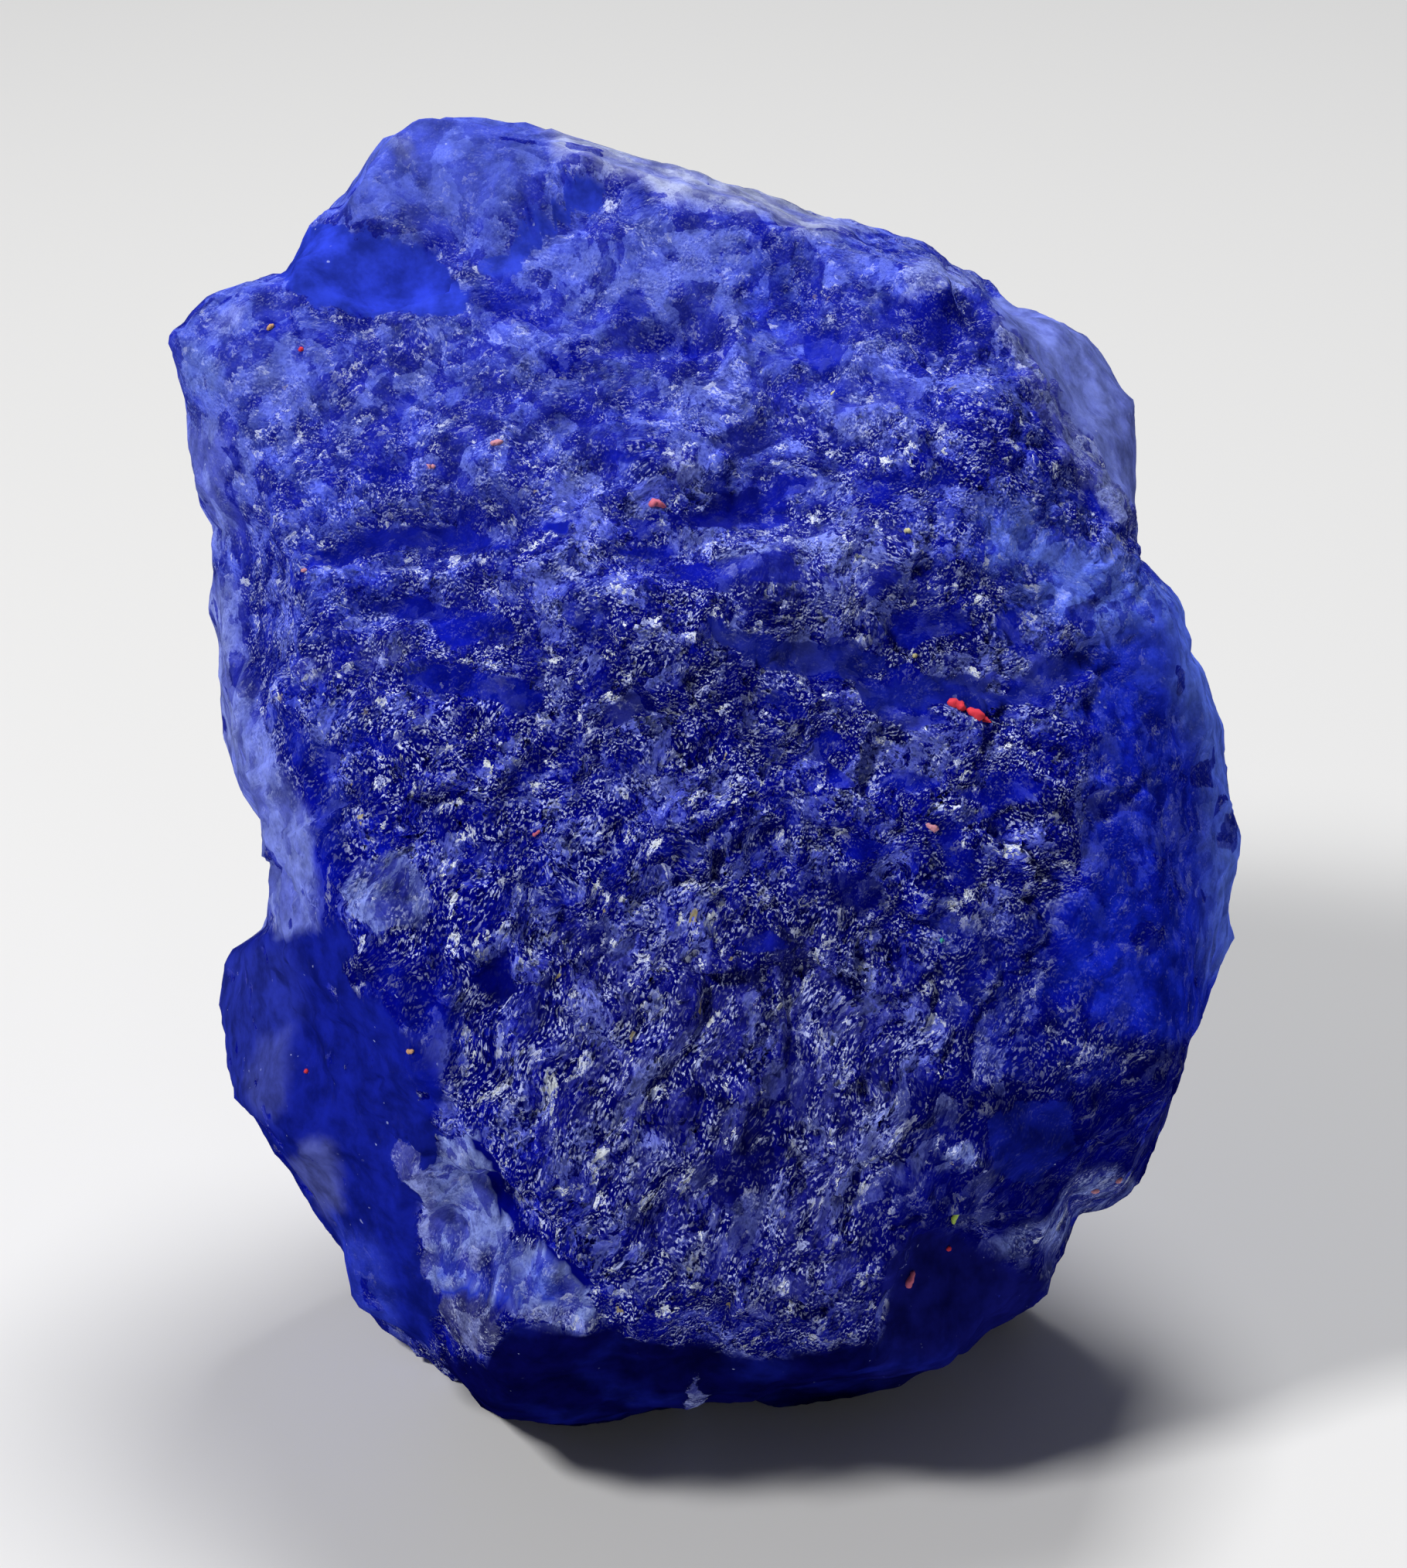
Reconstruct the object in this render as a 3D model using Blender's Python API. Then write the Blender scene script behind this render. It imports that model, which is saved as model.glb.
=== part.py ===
"""A rough sapphire: one broken lump of granular blue stone, standing on its own worn underside.

The stone is worked out in a frame of its own, laid on its broad face: u runs to the right, v up along the
face and w straight out of it, all in millimetres. The face leans back, so the frame is turned by LEAN_DEG
about the X axis and set down on the ground, where the underside is cut flat at Z = 0.
"""

import math

import bmesh
import bpy
import numpy as np

MM = 0.001

# Driving dimensions
LEAN_DEG = 27.0  # how far the broad face leans back from upright
GROUND_MM = 33.2  # from the stone's heart straight down to the surface that it stands on
HEART = np.array([0.0, 0.0, -8.0])  # the point inside that every part of the surface is seen from
FLARE_MM = 240.0  # the sides flare backwards, as if drawn from a point this far in front of the face
CUTS = 27  # how many times each side of the starting cube is cut
HALF_SIZE = np.array([28.0, 35.0, 21.0])  # half the stone along u, v and w, which spaces the mesh evenly

# The rim, as points (u, v) round the broad face, clockwise from the corner at the upper left.
RIM = (
    # the corner and the two steps up from it
    (-29.6, 24.0), (-28.3, 25.5), (-23.2, 27.8), (-21.9, 30.6), (-20.0, 32.0),
    # the round lobe at the top
    (-17.4, 35.0), (-15.5, 35.9), (-12.8, 36.4), (-8.9, 35.8), (-6.4, 35.9),
    # the long upper edge, falling to the right in small steps
    (-2.4, 34.8), (1.8, 33.2), (6.0, 31.8), (8.2, 31.2), (9.3, 30.2), (12.9, 28.9), (13.6, 28.0), (17.4, 25.8),
    # the thin lobe at the upper right
    (20.1, 25.1), (21.3, 24.2), (23.7, 20.3), (24.3, 14.0), (24.6, 12.2),
    # the right side
    (26.7, 9.4), (27.2, 6.6), (28.6, 2.6), (29.7, -3.0), (28.9, -9.9), (27.0, -14.5), (26.6, -16.6), (25.5, -19.8),
    # the undercut lower right corner
    (23.5, -23.2), (20.7, -24.2), (19.2, -26.8), (19.0, -28.8), (15.9, -30.7), (14.6, -32.0),
    # the underside
    (10.3, -33.8), (2.0, -34.4), (-0.6, -35.2), (-7.1, -36.0), (-12.0, -35.2), (-15.8, -31.8),
    # the lower left side
    (-19.4, -28.8), (-20.0, -26.4), (-22.6, -22.8), (-24.8, -19.2), (-26.0, -18.0), (-26.4, -13.8),
    # the notch in the left side, and the straight edge above it
    (-25.8, -9.7), (-24.3, -8.6), (-24.1, -5.5), (-24.7, -2.6), (-26.4, 0.0), (-27.2, 4.0), (-27.6, 9.0),
    (-26.8, 13.5), (-28.6, 18.1), (-28.5, 20.3),
)  # fmt: skip

FAR = 90  # longer than any break
# The flat breaks: a point (u, v, w) that each one passes through, the way (u, v, w) that it faces, and how far
# from that point it stays flat. Past that it curls away from the stone, so that a small one stays local.
BREAKS = {
    "broad_face": ((0, 0, 13.0), (0.04, -0.02, 1.0), FAR),
    "upper_slope": ((0, 13, 12.6), (-0.04, 0.40, 0.91), FAR),
    "upper_left_slope": ((-16, 16, 10.6), (-0.34, 0.22, 0.90), FAR),
    "lower_slope": ((0, -18, 12.8), (0.02, -0.26, 0.96), FAR),
    "top_edge": ((2, 30.6, 5.0), (0.30, 0.90, 0.26), FAR),
    "thin_lobe": ((18.8, 19.2, 7.2), (0.74, 0.46, 0.48), FAR),
    "right_shoulder": ((18.0, -3, 11.8), (0.46, 0.02, 0.88), FAR),
    "right_side": ((26.4, -3, 4.8), (0.86, -0.02, 0.50), FAR),
    "lower_right": ((16.2, -22.2, 8.6), (0.56, -0.60, 0.56), FAR),
    "front_undercut": ((0, -30.2, 9.4), (0.02, -0.84, 0.54), FAR),
    "left_wall": ((-23.4, 1, 9.8), (-0.92, -0.16, 0.36), FAR),
    "left_corner": ((-27.4, 17.6, 3.4), (-0.78, -0.34, 0.50), 4),
    "lower_left": ((-19.4, -13.0, 10.2), (-0.66, -0.40, 0.62), FAR),
    "back": ((0, -10, -30.0), (0.06, 0.36, -0.92), FAR),
    "back_left": ((-20, 0, -18.5), (-0.72, 0.12, -0.68), FAR),
    "back_right": ((21, -4, -17.5), (0.70, 0.02, -0.71), FAR),
    "back_top": ((0, 28, -12.5), (0.12, 0.74, -0.66), FAR),
    "back_lower_left": ((-14, -22, -24.0), (-0.55, -0.38, -0.74), FAR),
    "back_lower_right": ((15, -20, -25.0), (0.58, -0.30, -0.75), FAR),
    "back_underside": ((0, -26.3, -32.4), (0.02, -0.87, -0.49), FAR),
}
WANDER_MM = (1.1, 11.0)  # how far a break leaves its plane, and over what length
ROUNDING_MM = 0.6  # how much the ridges between the breaks are worn round
CURL = 0.35  # how fast a break curls away past its own reach

# The scooped chips and raised lobes of the broad face:
# centre (u, v), half length, half width, turn in degrees, depth (a lobe's is negative)
CHIPS = {
    "shoulder_scoop": ((-17.8, 28.2), 5.6, 3.2, -6, 1.8),
    "top_lobe": ((-12.0, 32.8), 6.5, 4.0, 0, -1.2),
    "corner_lobe": ((-26.6, 23.2), 3.6, 4.4, 20, -0.8),
    "top_nick": ((-6.8, 30.8), 3.4, 1.7, 30, 0.8),
    "left_trough": ((-14.3, 12.8), 6.6, 1.9, 8, 1.1),
    "left_shelf": ((-14.9, 8.9), 5.0, 2.0, 12, 0.9),
    "middle_trough": ((0.8, 14.6), 3.8, 1.6, -5, 0.9),
    "ribbed_hollow": ((-3.2, 11.2), 3.8, 2.1, 10, 0.7),
    "upper_trough": ((-1.8, 23.4), 3.6, 1.5, 10, 0.8),
    "upper_hollow": ((4.6, 25.2), 3.6, 3.2, 0, 0.9),
    "edge_hollow": ((13.2, 23.4), 3.8, 2.1, -30, 0.9),
    "right_hollow": ((11.2, 6.2), 7.8, 3.2, -8, 1.3),
    "low_right_patch": ((17.2, -18.8), 3.6, 2.4, 0, 0.8),
    "heel_step": ((14.4, -28.4), 5.6, 4.4, 15, 1.5),
    "lower_left_scoop": ((-19.6, -17.0), 3.6, 7.0, 24, 0.7),
    "light_chip": ((-12.2, -25.0), 5.4, 4.2, -45, 1.5),
}
RAGGED_MM = ((1.1, 4.5), (0.45, 1.8))  # how far, and over what lengths, the chips' edges stray from true ellipses

# Hollows struck out all over by the break: size of a hollow, and height of the ridges between them
STRUCK = ((9.5, 1.25), (4.8, 0.7))
BOWL_LEVEL = 0.7  # the height in a hollow, from 0 to 1, that lies on the unstruck surface
TWIST_MM = ((2.2, 7.0), (0.9, 2.6))  # how far, and over what lengths, the hollows are bent out of round


def lattice_random(cells, seed):
    """Three random numbers from 0 to 1 for each whole-numbered cell, always the same for the same seed."""
    x, y, z = (cells[..., axis].astype(np.int64) for axis in range(3))
    mixed = (x * 73856093) ^ (y * 19349663) ^ (z * 83492791) ^ (seed * 2654435761)
    drawn = []
    for step in range(3):
        mixed = (mixed ^ (mixed >> 13)) * 1274126177 + 1013904223 + step
        mixed &= 0x7FFFFFFF
        drawn.append((mixed % 65536) / 65536)
    return np.stack(drawn, axis=-1)


def smooth_noise(points, size, seed):
    """Noise from -1 to 1 that swells over about size: random values at the corners of a lattice, eased between."""
    scaled = points / size
    corner = np.floor(scaled).astype(int)
    part = scaled - corner
    ease = part * part * (3 - 2 * part)
    total = np.zeros(len(points))
    for offset in np.ndindex(2, 2, 2):
        offset = np.array(offset)
        share = np.where(offset == 1, ease, 1 - ease).prod(axis=1)
        total += share * lattice_random(corner + offset, seed)[:, 0]
    return total * 2 - 1


def struck_hollows(points, size, seed):
    """Bowls with sharp ridges between, from 0 in a bowl to about 1 on a ridge.

    Each lattice cell holds one bowl's centre. The height is the squared distance to the centre that is
    nearest once each is given a head start of its own, so that some bowls are wide and others small.
    """
    scaled = points / size
    home = np.floor(scaled).astype(int)
    nearest = np.full(len(points), 9.0)
    for offset in np.ndindex(3, 3, 3):
        cell = home + np.array(offset) - 1
        centre = cell + lattice_random(cell, seed)
        start = lattice_random(cell, seed + 101)[:, 0] * 0.35
        nearest = np.minimum(nearest, ((scaled - centre) ** 2).sum(axis=1) + start)
    return np.clip(nearest, 0, 1.4)


def strayed(points, swings, seed):
    """The points moved about by smooth noise, once for each (distance, length) in swings."""
    moved = points.copy()
    for distance, length in swings:
        for axis in range(points.shape[1]):
            seed += 1
            moved[:, axis] += distance * smooth_noise(points, length, seed)
    return moved


def break_reach(ways, wander):
    """How far the surface is from the heart along each way.

    It is the nearest of the breaks and of the flared rim, as a soft minimum that wears the ridges round.
    """
    u, v, w = ways.T
    across = np.hypot(u, v)
    rim = np.array(RIM)
    corner_angle = np.arctan2(rim[:, 1], rim[:, 0])
    order = np.argsort(corner_angle)
    radius = np.interp(np.arctan2(v, u), corner_angle[order], np.hypot(*rim.T)[order], period=2 * math.pi)
    narrowing = across * FLARE_MM + radius * w
    reaches = [np.where(narrowing > 1e-6, radius * (FLARE_MM - HEART[2]) / np.maximum(narrowing, 1e-6), np.inf)]
    for number, (through, facing, _) in enumerate(BREAKS.values()):
        facing = np.array(facing) / np.linalg.norm(facing)
        away = ways @ facing
        gap = facing @ (np.array(through) - HEART) + wander[number]
        reaches.append(np.where(away > 1e-6, gap / np.maximum(away, 1e-6), np.inf))
    nearest = np.min(reaches, axis=0)
    return nearest - ROUNDING_MM * np.log(np.exp((nearest - np.array(reaches)) / ROUNDING_MM).sum(axis=0))


def chip_depth(points):
    """How far the chips and lobes move the broad face, measured along w, at each point's (u, v).

    A chip is a bowl inside an ellipse, deeper and steeper towards its upper edge. A lobe is an even mound.
    """
    points = strayed(points, RAGGED_MM, 200)
    depth = np.zeros(len(points))
    for (centre_u, centre_v), half_length, half_width, turn, deep in CHIPS.values():
        turn = math.radians(turn)
        u, v = points[:, 0] - centre_u, points[:, 1] - centre_v
        along = (u * math.cos(turn) + v * math.sin(turn)) / half_length
        across = (v * math.cos(turn) - u * math.sin(turn)) / half_width
        bowl = np.clip(1 - along**2 - across**2, 0, 1)
        steeper = 1 + 0.5 * np.clip(across, -1, 1) if deep > 0 else 1.0
        depth += deep * steeper * bowl
    return depth


def stone_surface(directions):
    """The point of the stone's surface, in its own frame, that each direction from the heart meets."""
    ways = directions / np.linalg.norm(directions, axis=1, keepdims=True)
    only_wide = [0 if reach == FAR else FAR for _, _, reach in BREAKS.values()]
    flat = HEART + ways * break_reach(ways, only_wide)[:, None]
    wander = []
    for number, (through, _, reach) in enumerate(BREAKS.values()):
        beyond = np.clip(np.linalg.norm(flat - np.array(through), axis=1) - reach, 0, None)
        wander.append(WANDER_MM[0] * smooth_noise(flat, WANDER_MM[1], 40 + number) + CURL * beyond)
    points = HEART + ways * break_reach(ways, wander)[:, None]
    bent = strayed(points, TWIST_MM, 300)
    for seed, (size, height) in enumerate(STRUCK):
        bowls = struck_hollows(bent, size, 7 + seed)
        points = points + ways * (height * (bowls - BOWL_LEVEL))[:, None]
    front = np.clip((ways[:, 2] - 0.15) * 4, 0, 1)
    depth = chip_depth(points) * front / np.clip(ways[:, 2], 0.5, 1)
    return points - ways * depth[:, None]


def stand_up(points):
    """The stone's own frame turned into the upright one, in millimetres, with the underside cut off at Z = 0."""
    lean = math.radians(LEAN_DEG)
    u, v, w = (points - HEART).T
    upright = np.stack(
        [u, v * math.sin(lean) - w * math.cos(lean), v * math.cos(lean) + w * math.sin(lean)], axis=1
    )
    below = upright[:, 2] < -GROUND_MM
    upright[below] *= (GROUND_MM / -upright[below, 2])[:, None]
    upright[:, 2] += GROUND_MM
    return upright


def stone_material():
    material = bpy.data.materials.new("rough_blue_sapphire")
    material.use_nodes = True
    shader = material.node_tree.nodes["Principled BSDF"]
    shader.inputs["Base Color"].default_value = (0.035, 0.05, 0.36, 1)
    shader.inputs["Roughness"].default_value = 0.38
    shader.inputs["Metallic"].default_value = 0.0
    return material


def cut_cube():
    """The points of a finely cut cube, from -1 to 1 each way, and its squares as four point numbers each."""
    shape = bmesh.new()
    bmesh.ops.create_cube(shape, size=2)
    bmesh.ops.subdivide_edges(shape, edges=shape.edges[:], cuts=CUTS, use_grid_fill=True)
    points = np.array([vertex.co for vertex in shape.verts])
    squares = np.array([[vertex.index for vertex in face.verts] for face in shape.faces])
    shape.free()
    return points, squares


def upright_surface(cube):
    """The upright surface's point for each point of the cube's faces."""
    spread = np.tan(cube * math.pi / 4)  # evens out the cube's squares over a sphere
    directions = spread / np.linalg.norm(spread, axis=1, keepdims=True) * HALF_SIZE
    return stand_up(stone_surface(directions))


def build_stone():
    """One closed lump: the cut cube's points moved out to the stone's surface.

    Each square is split along the diagonal that lies nearer to the surface, so that the ridges run clean.
    """
    cube, squares = cut_cube()
    points = upright_surface(cube)
    centres = upright_surface(cube[squares].mean(axis=1))
    first, second, third, fourth = squares.T
    miss = np.linalg.norm((points[first] + points[third]) / 2 - centres, axis=1)
    other_miss = np.linalg.norm((points[second] + points[fourth]) / 2 - centres, axis=1)
    turned = np.where((miss <= other_miss)[:, None], squares, np.roll(squares, -1, axis=1))
    triangles = np.concatenate([turned[:, [0, 1, 2]], turned[:, [0, 2, 3]]])
    middle = (points.max(axis=0) + points.min(axis=0)) / 2
    points -= (middle[0], middle[1], 0)
    mesh = bpy.data.meshes.new("sapphire")
    mesh.from_pydata((points * MM).tolist(), [], triangles.tolist())
    mesh.materials.append(stone_material())
    stone = bpy.data.objects.new("sapphire", mesh)
    bpy.context.scene.collection.objects.link(stone)
    return stone


for old in list(bpy.data.objects):
    bpy.data.objects.remove(old)
build_stone()
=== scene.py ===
import math

import bpy
import numpy as np
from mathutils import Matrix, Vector


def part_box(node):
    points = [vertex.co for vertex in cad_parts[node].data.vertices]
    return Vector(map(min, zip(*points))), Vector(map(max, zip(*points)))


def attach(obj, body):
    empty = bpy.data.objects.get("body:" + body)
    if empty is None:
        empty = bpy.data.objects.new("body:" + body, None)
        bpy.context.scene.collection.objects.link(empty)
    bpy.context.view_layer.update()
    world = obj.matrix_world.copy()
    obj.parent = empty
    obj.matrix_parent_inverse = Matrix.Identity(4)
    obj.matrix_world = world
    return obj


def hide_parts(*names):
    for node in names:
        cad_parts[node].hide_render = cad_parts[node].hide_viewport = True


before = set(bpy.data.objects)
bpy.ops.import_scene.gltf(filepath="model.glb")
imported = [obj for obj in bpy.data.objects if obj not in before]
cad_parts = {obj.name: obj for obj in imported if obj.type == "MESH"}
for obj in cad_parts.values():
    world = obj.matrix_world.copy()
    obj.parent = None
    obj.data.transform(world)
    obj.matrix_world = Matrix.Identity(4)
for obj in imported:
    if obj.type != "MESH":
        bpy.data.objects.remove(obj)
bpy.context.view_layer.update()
print("frame loaded")

# The stone has a frame of its own, in mm: u to the right, v up the broad face, w straight out of it.
mm = 0.001

stone = {
    "lean": 27.0,  # degrees that the broad face leans back
    "ground": 33.2,  # from the heart straight down to the ground
    "heart": (0.0, 0.0, -8.0),  # the point inside that every part of the surface is seen from
    "flare": 240.0,  # the sides flare backwards, as if drawn from a point this far in front
    "halfSize": (28.0, 35.0, 21.0),
    "squares": (148, 168, 72),  # mesh squares along u, v and w
    "solidSquares": (28, 28, 28),  # the same, of the solid that the stone stands in for
    "rounding": 0.6,
    "wander": (1.1, 11.0),  # how far a break leaves its plane, and over what length
    "curl": 0.35,  # how fast a break curls away past its own reach
    "ragged": ((1.1, 4.5), (0.45, 1.8)),  # how the chips' edges stray, and over what lengths
    "struck": ((9.5, 1.25), (4.8, 0.7)),  # hollows struck all over: size, and height of their ridges
    "bowlLevel": 0.7,  # the height in a hollow that lies on the unstruck surface
    "bowlTop": 1.4,  # where the ridges between hollows are cut off
    "headStart": 0.35,  # how much smaller than its neighbour a hollow may be
    "twist": ((2.2, 7.0), (0.9, 2.6)),  # how the hollows are bent out of round
    "chipsFrom": 0.15,  # how squarely a way faces the front before chips begin
    "chipsGrow": 4,  # how fast they reach their full depth past that
    "chipSteeper": 0.5,  # how much steeper a chip is at its upper edge
    "slantLeast": 0.5,
}

# Where each noise begins its random numbers.
seeds = {
    "hollows": 7,
    "breaks": 40,
    "chips": 200,
    "stoneTwist": 300,
    "ground": 400,
    "outlines": 420,
    "sides": 440,
    "frontFade": 445,
    "swathe": 501,
    "cloud": 503,
    "pools": 511,
    "slivers": 513,
    "streaks": 521,
    "reliefTwist": 600,
    "crystals": 620,
    "grit": 640,
    "ledges": 650,
    "flakeTwist": 660,
    "flakes": 670,
    "grains": 700,
    "lint": 700,
}

# The rim as (u, v), clockwise from the corner at the upper left.
rim = np.array(
    (
        # corner, the two steps above it and the round lobe
        (-29.6, 24.0), (-28.3, 25.5), (-23.2, 27.8), (-21.9, 30.6), (-20.0, 32.0),
        (-17.4, 35.0), (-15.5, 35.9), (-12.8, 36.4), (-8.9, 35.8), (-6.4, 35.9),
        # long upper edge
        (-2.4, 34.8), (1.8, 33.2), (6.0, 31.8), (8.2, 31.2), (9.3, 30.2), (12.9, 28.9), (13.6, 28.0),
        (17.4, 25.8),
        # thin lobe at the upper right
        (20.1, 25.1), (21.3, 24.2), (23.7, 20.3), (24.3, 14.0), (24.6, 12.2),
        # right side
        (26.7, 9.4), (27.2, 6.6), (28.6, 2.6), (29.7, -3.0), (28.9, -9.9), (27.0, -14.5), (26.6, -16.6),
        (25.5, -19.8),
        # undercut corner at the lower right
        (23.5, -23.2), (20.7, -24.2), (19.2, -26.8), (19.0, -28.8), (15.9, -30.7), (14.6, -32.0),
        # underside
        (10.3, -33.8), (2.0, -34.4), (-0.6, -35.2), (-7.1, -36.0), (-12.0, -35.2), (-15.8, -31.8),
        # lower left side, the notch, and the straight edge above it
        (-19.4, -28.8), (-20.0, -26.4), (-22.6, -22.8), (-24.8, -19.2), (-26.0, -18.0), (-26.4, -13.8),
        (-25.8, -9.7), (-24.3, -8.6), (-24.1, -5.5), (-24.7, -2.6), (-26.4, 0.0), (-27.2, 4.0),
        (-27.6, 9.0), (-26.8, 13.5), (-28.6, 18.1), (-28.5, 20.3),
    )
)  # fmt: skip

# Flat breaks: a point on each, the way it faces, and how far it stays flat (far: all the way).
far = 90
breaks = {
    "broadFace": ((0, 0, 13.0), (0.04, -0.02, 1.0), far),
    "upperSlope": ((0, 13, 12.6), (-0.04, 0.40, 0.91), far),
    "upperLeftSlope": ((-16, 16, 10.6), (-0.34, 0.22, 0.90), far),
    "lowerSlope": ((0, -18, 12.8), (0.02, -0.26, 0.96), far),
    "topEdge": ((2, 30.6, 5.0), (0.30, 0.90, 0.26), far),
    "thinLobe": ((18.8, 19.2, 7.2), (0.74, 0.46, 0.48), far),
    "rightShoulder": ((18.0, -3, 11.8), (0.46, 0.02, 0.88), far),
    "rightSide": ((26.4, -3, 4.8), (0.86, -0.02, 0.50), far),
    "lowerRight": ((16.2, -22.2, 8.6), (0.56, -0.60, 0.56), far),
    "frontUndercut": ((0, -30.2, 9.4), (0.02, -0.84, 0.54), far),
    "leftWall": ((-23.4, 1, 9.8), (-0.92, -0.16, 0.36), far),
    "leftCorner": ((-27.4, 17.6, 3.4), (-0.78, -0.34, 0.50), 4),
    "lowerLeft": ((-19.4, -13.0, 10.2), (-0.66, -0.40, 0.62), far),
    "back": ((0, -10, -30.0), (0.06, 0.36, -0.92), far),
    "backLeft": ((-20, 0, -18.5), (-0.72, 0.12, -0.68), far),
    "backRight": ((21, -4, -17.5), (0.70, 0.02, -0.71), far),
    "backTop": ((0, 28, -12.5), (0.12, 0.74, -0.66), far),
    "backLowerLeft": ((-14, -22, -24.0), (-0.55, -0.38, -0.74), far),
    "backLowerRight": ((15, -20, -25.0), (0.58, -0.30, -0.75), far),
    "underside": ((0, -26.3, -32.4), (0.02, -0.87, -0.49), far),
}

# Chips and lobes of the broad face: centre (u, v), half length, half width, turn, depth (negative: a lobe).
chips = {
    "shoulderScoop": ((-17.8, 28.2), 5.6, 3.2, -6, 1.8),
    "topLobe": ((-12.0, 32.8), 6.5, 4.0, 0, -1.2),
    "cornerLobe": ((-26.6, 23.2), 3.6, 4.4, 20, -0.8),
    "topNick": ((-6.8, 30.8), 3.4, 1.7, 30, 0.8),
    "leftTrough": ((-14.3, 12.8), 6.6, 1.9, 8, 1.1),
    "leftShelf": ((-14.9, 8.9), 5.0, 2.0, 12, 0.9),
    "middleTrough": ((0.8, 14.6), 3.8, 1.6, -5, 0.9),
    "ribbedHollow": ((-3.2, 11.2), 3.8, 2.1, 10, 0.7),
    "upperTrough": ((-1.8, 23.4), 3.6, 1.5, 10, 0.8),
    "upperHollow": ((4.6, 25.2), 3.6, 3.2, 0, 0.9),
    "edgeHollow": ((13.2, 23.4), 3.8, 2.1, -30, 0.9),
    "rightHollow": ((11.2, 6.2), 7.8, 3.2, -8, 1.3),
    "lowRightPatch": ((17.2, -18.8), 3.6, 2.4, 0, 0.8),
    "heelStep": ((14.4, -28.4), 5.6, 4.4, 15, 1.5),
    "lowerLeftScoop": ((-19.6, -17.0), 3.6, 7.0, 24, 0.7),
    "lightChip": ((-12.2, -25.0), 5.4, 4.2, -45, 1.5),
}


# Three random numbers from 0 to 1 for each whole-numbered cell, mixed from the cell's numbers and the seed.
def latticeRandom(cells, seed):
    x, y, z = (cells[..., axis].astype(np.int64) for axis in range(3))
    mixed = (x * 73856093) ^ (y * 19349663) ^ (z * 83492791) ^ (seed * 2654435761)
    drawn = []
    for step in range(3):
        mixed = (mixed ^ (mixed >> 13)) * 1274126177 + 1013904223 + step
        mixed &= 0x7FFFFFFF
        drawn.append((mixed % 65536) / 65536)
    return np.stack(drawn, axis=-1)


# Noise from -1 to 1 that swells over about size: random values at lattice corners, eased between them.
def smoothNoise(points, size, seed):
    scaled = points / size
    corner = np.floor(scaled).astype(int)
    part = scaled - corner
    ease = part * part * (3 - 2 * part)
    total = np.zeros(len(points))
    for offset in np.ndindex(2, 2, 2):
        offset = np.array(offset)
        share = np.where(offset == 1, ease, 1 - ease).prod(axis=1)
        total += share * latticeRandom(corner + offset, seed)[:, 0]
    return total * 2 - 1


# Noise of two sizes, the second one weaker.
def doubleNoise(points, sizes, weaker, seed):
    return smoothNoise(points, sizes[0], seed) + weaker * smoothNoise(points, sizes[1], seed + 1)


# Bowls with sharp ridges between: the squared distance to the nearest random centre, plus a random start.
def struckHollows(points, size, seed):
    scaled = points / size
    home = np.floor(scaled).astype(int)
    nearest = np.full(len(points), 9.0)
    for offset in np.ndindex(3, 3, 3):
        cell = home + np.array(offset) - 1
        centre = cell + latticeRandom(cell, seed)
        start = latticeRandom(cell, seed + 101)[:, 0] * stone["headStart"]
        nearest = np.minimum(nearest, ((scaled - centre) ** 2).sum(axis=1) + start)
    return np.clip(nearest, 0, stone["bowlTop"])


# The points moved about by smooth noise, once for each (distance, length).
def strayed(points, swings, seed):
    moved = points.copy()
    for distance, length in swings:
        for axis in range(points.shape[1]):
            seed += 1
            moved[:, axis] += distance * smoothNoise(points, length, seed)
    return moved


# The rim's distance from the middle, towards each (u, v).
def rimRadius(u, v):
    cornerAngle = np.arctan2(rim[:, 1], rim[:, 0])
    order = np.argsort(cornerAngle)
    return np.interp(np.arctan2(v, u), cornerAngle[order], np.hypot(*rim.T)[order], period=2 * math.pi)


# Reach = soft minimum of the rim's flared cone and of each break's plane, gap / (way . facing).
def breakReach(ways, wander):
    u, v, w = ways.T
    across = np.hypot(u, v)
    radius = rimRadius(u, v)
    narrowing = across * stone["flare"] + radius * w
    flared = radius * (stone["flare"] - stone["heart"][2]) / np.maximum(narrowing, 1e-6)
    reaches = [np.where(narrowing > 1e-6, flared, np.inf)]
    for number, (through, facing, _) in enumerate(breaks.values()):
        facing = np.array(facing) / np.linalg.norm(facing)
        away = ways @ facing
        gap = facing @ (np.array(through) - stone["heart"]) + wander[number]
        reaches.append(np.where(away > 1e-6, gap / np.maximum(away, 1e-6), np.inf))
    nearest = np.min(reaches, axis=0)
    worn = stone["rounding"]
    return nearest - worn * np.log(np.exp((nearest - np.array(reaches)) / worn).sum(axis=0))


# Depth = sum of bowls 1 - along^2 - across^2 inside each chip's ellipse, steeper at its upper edge.
def chipDepth(points):
    points = strayed(points, stone["ragged"], seeds["chips"])
    depth = np.zeros(len(points))
    for (centreU, centreV), halfLength, halfWidth, turn, deep in chips.values():
        turn = math.radians(turn)
        u, v = points[:, 0] - centreU, points[:, 1] - centreV
        along = (u * math.cos(turn) + v * math.sin(turn)) / halfLength
        across = (v * math.cos(turn) - u * math.sin(turn)) / halfWidth
        bowl = np.clip(1 - along**2 - across**2, 0, 1)
        steeper = 1 + stone["chipSteeper"] * np.clip(across, -1, 1) if deep > 0 else 1.0
        depth += deep * steeper * bowl
    return depth


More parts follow.
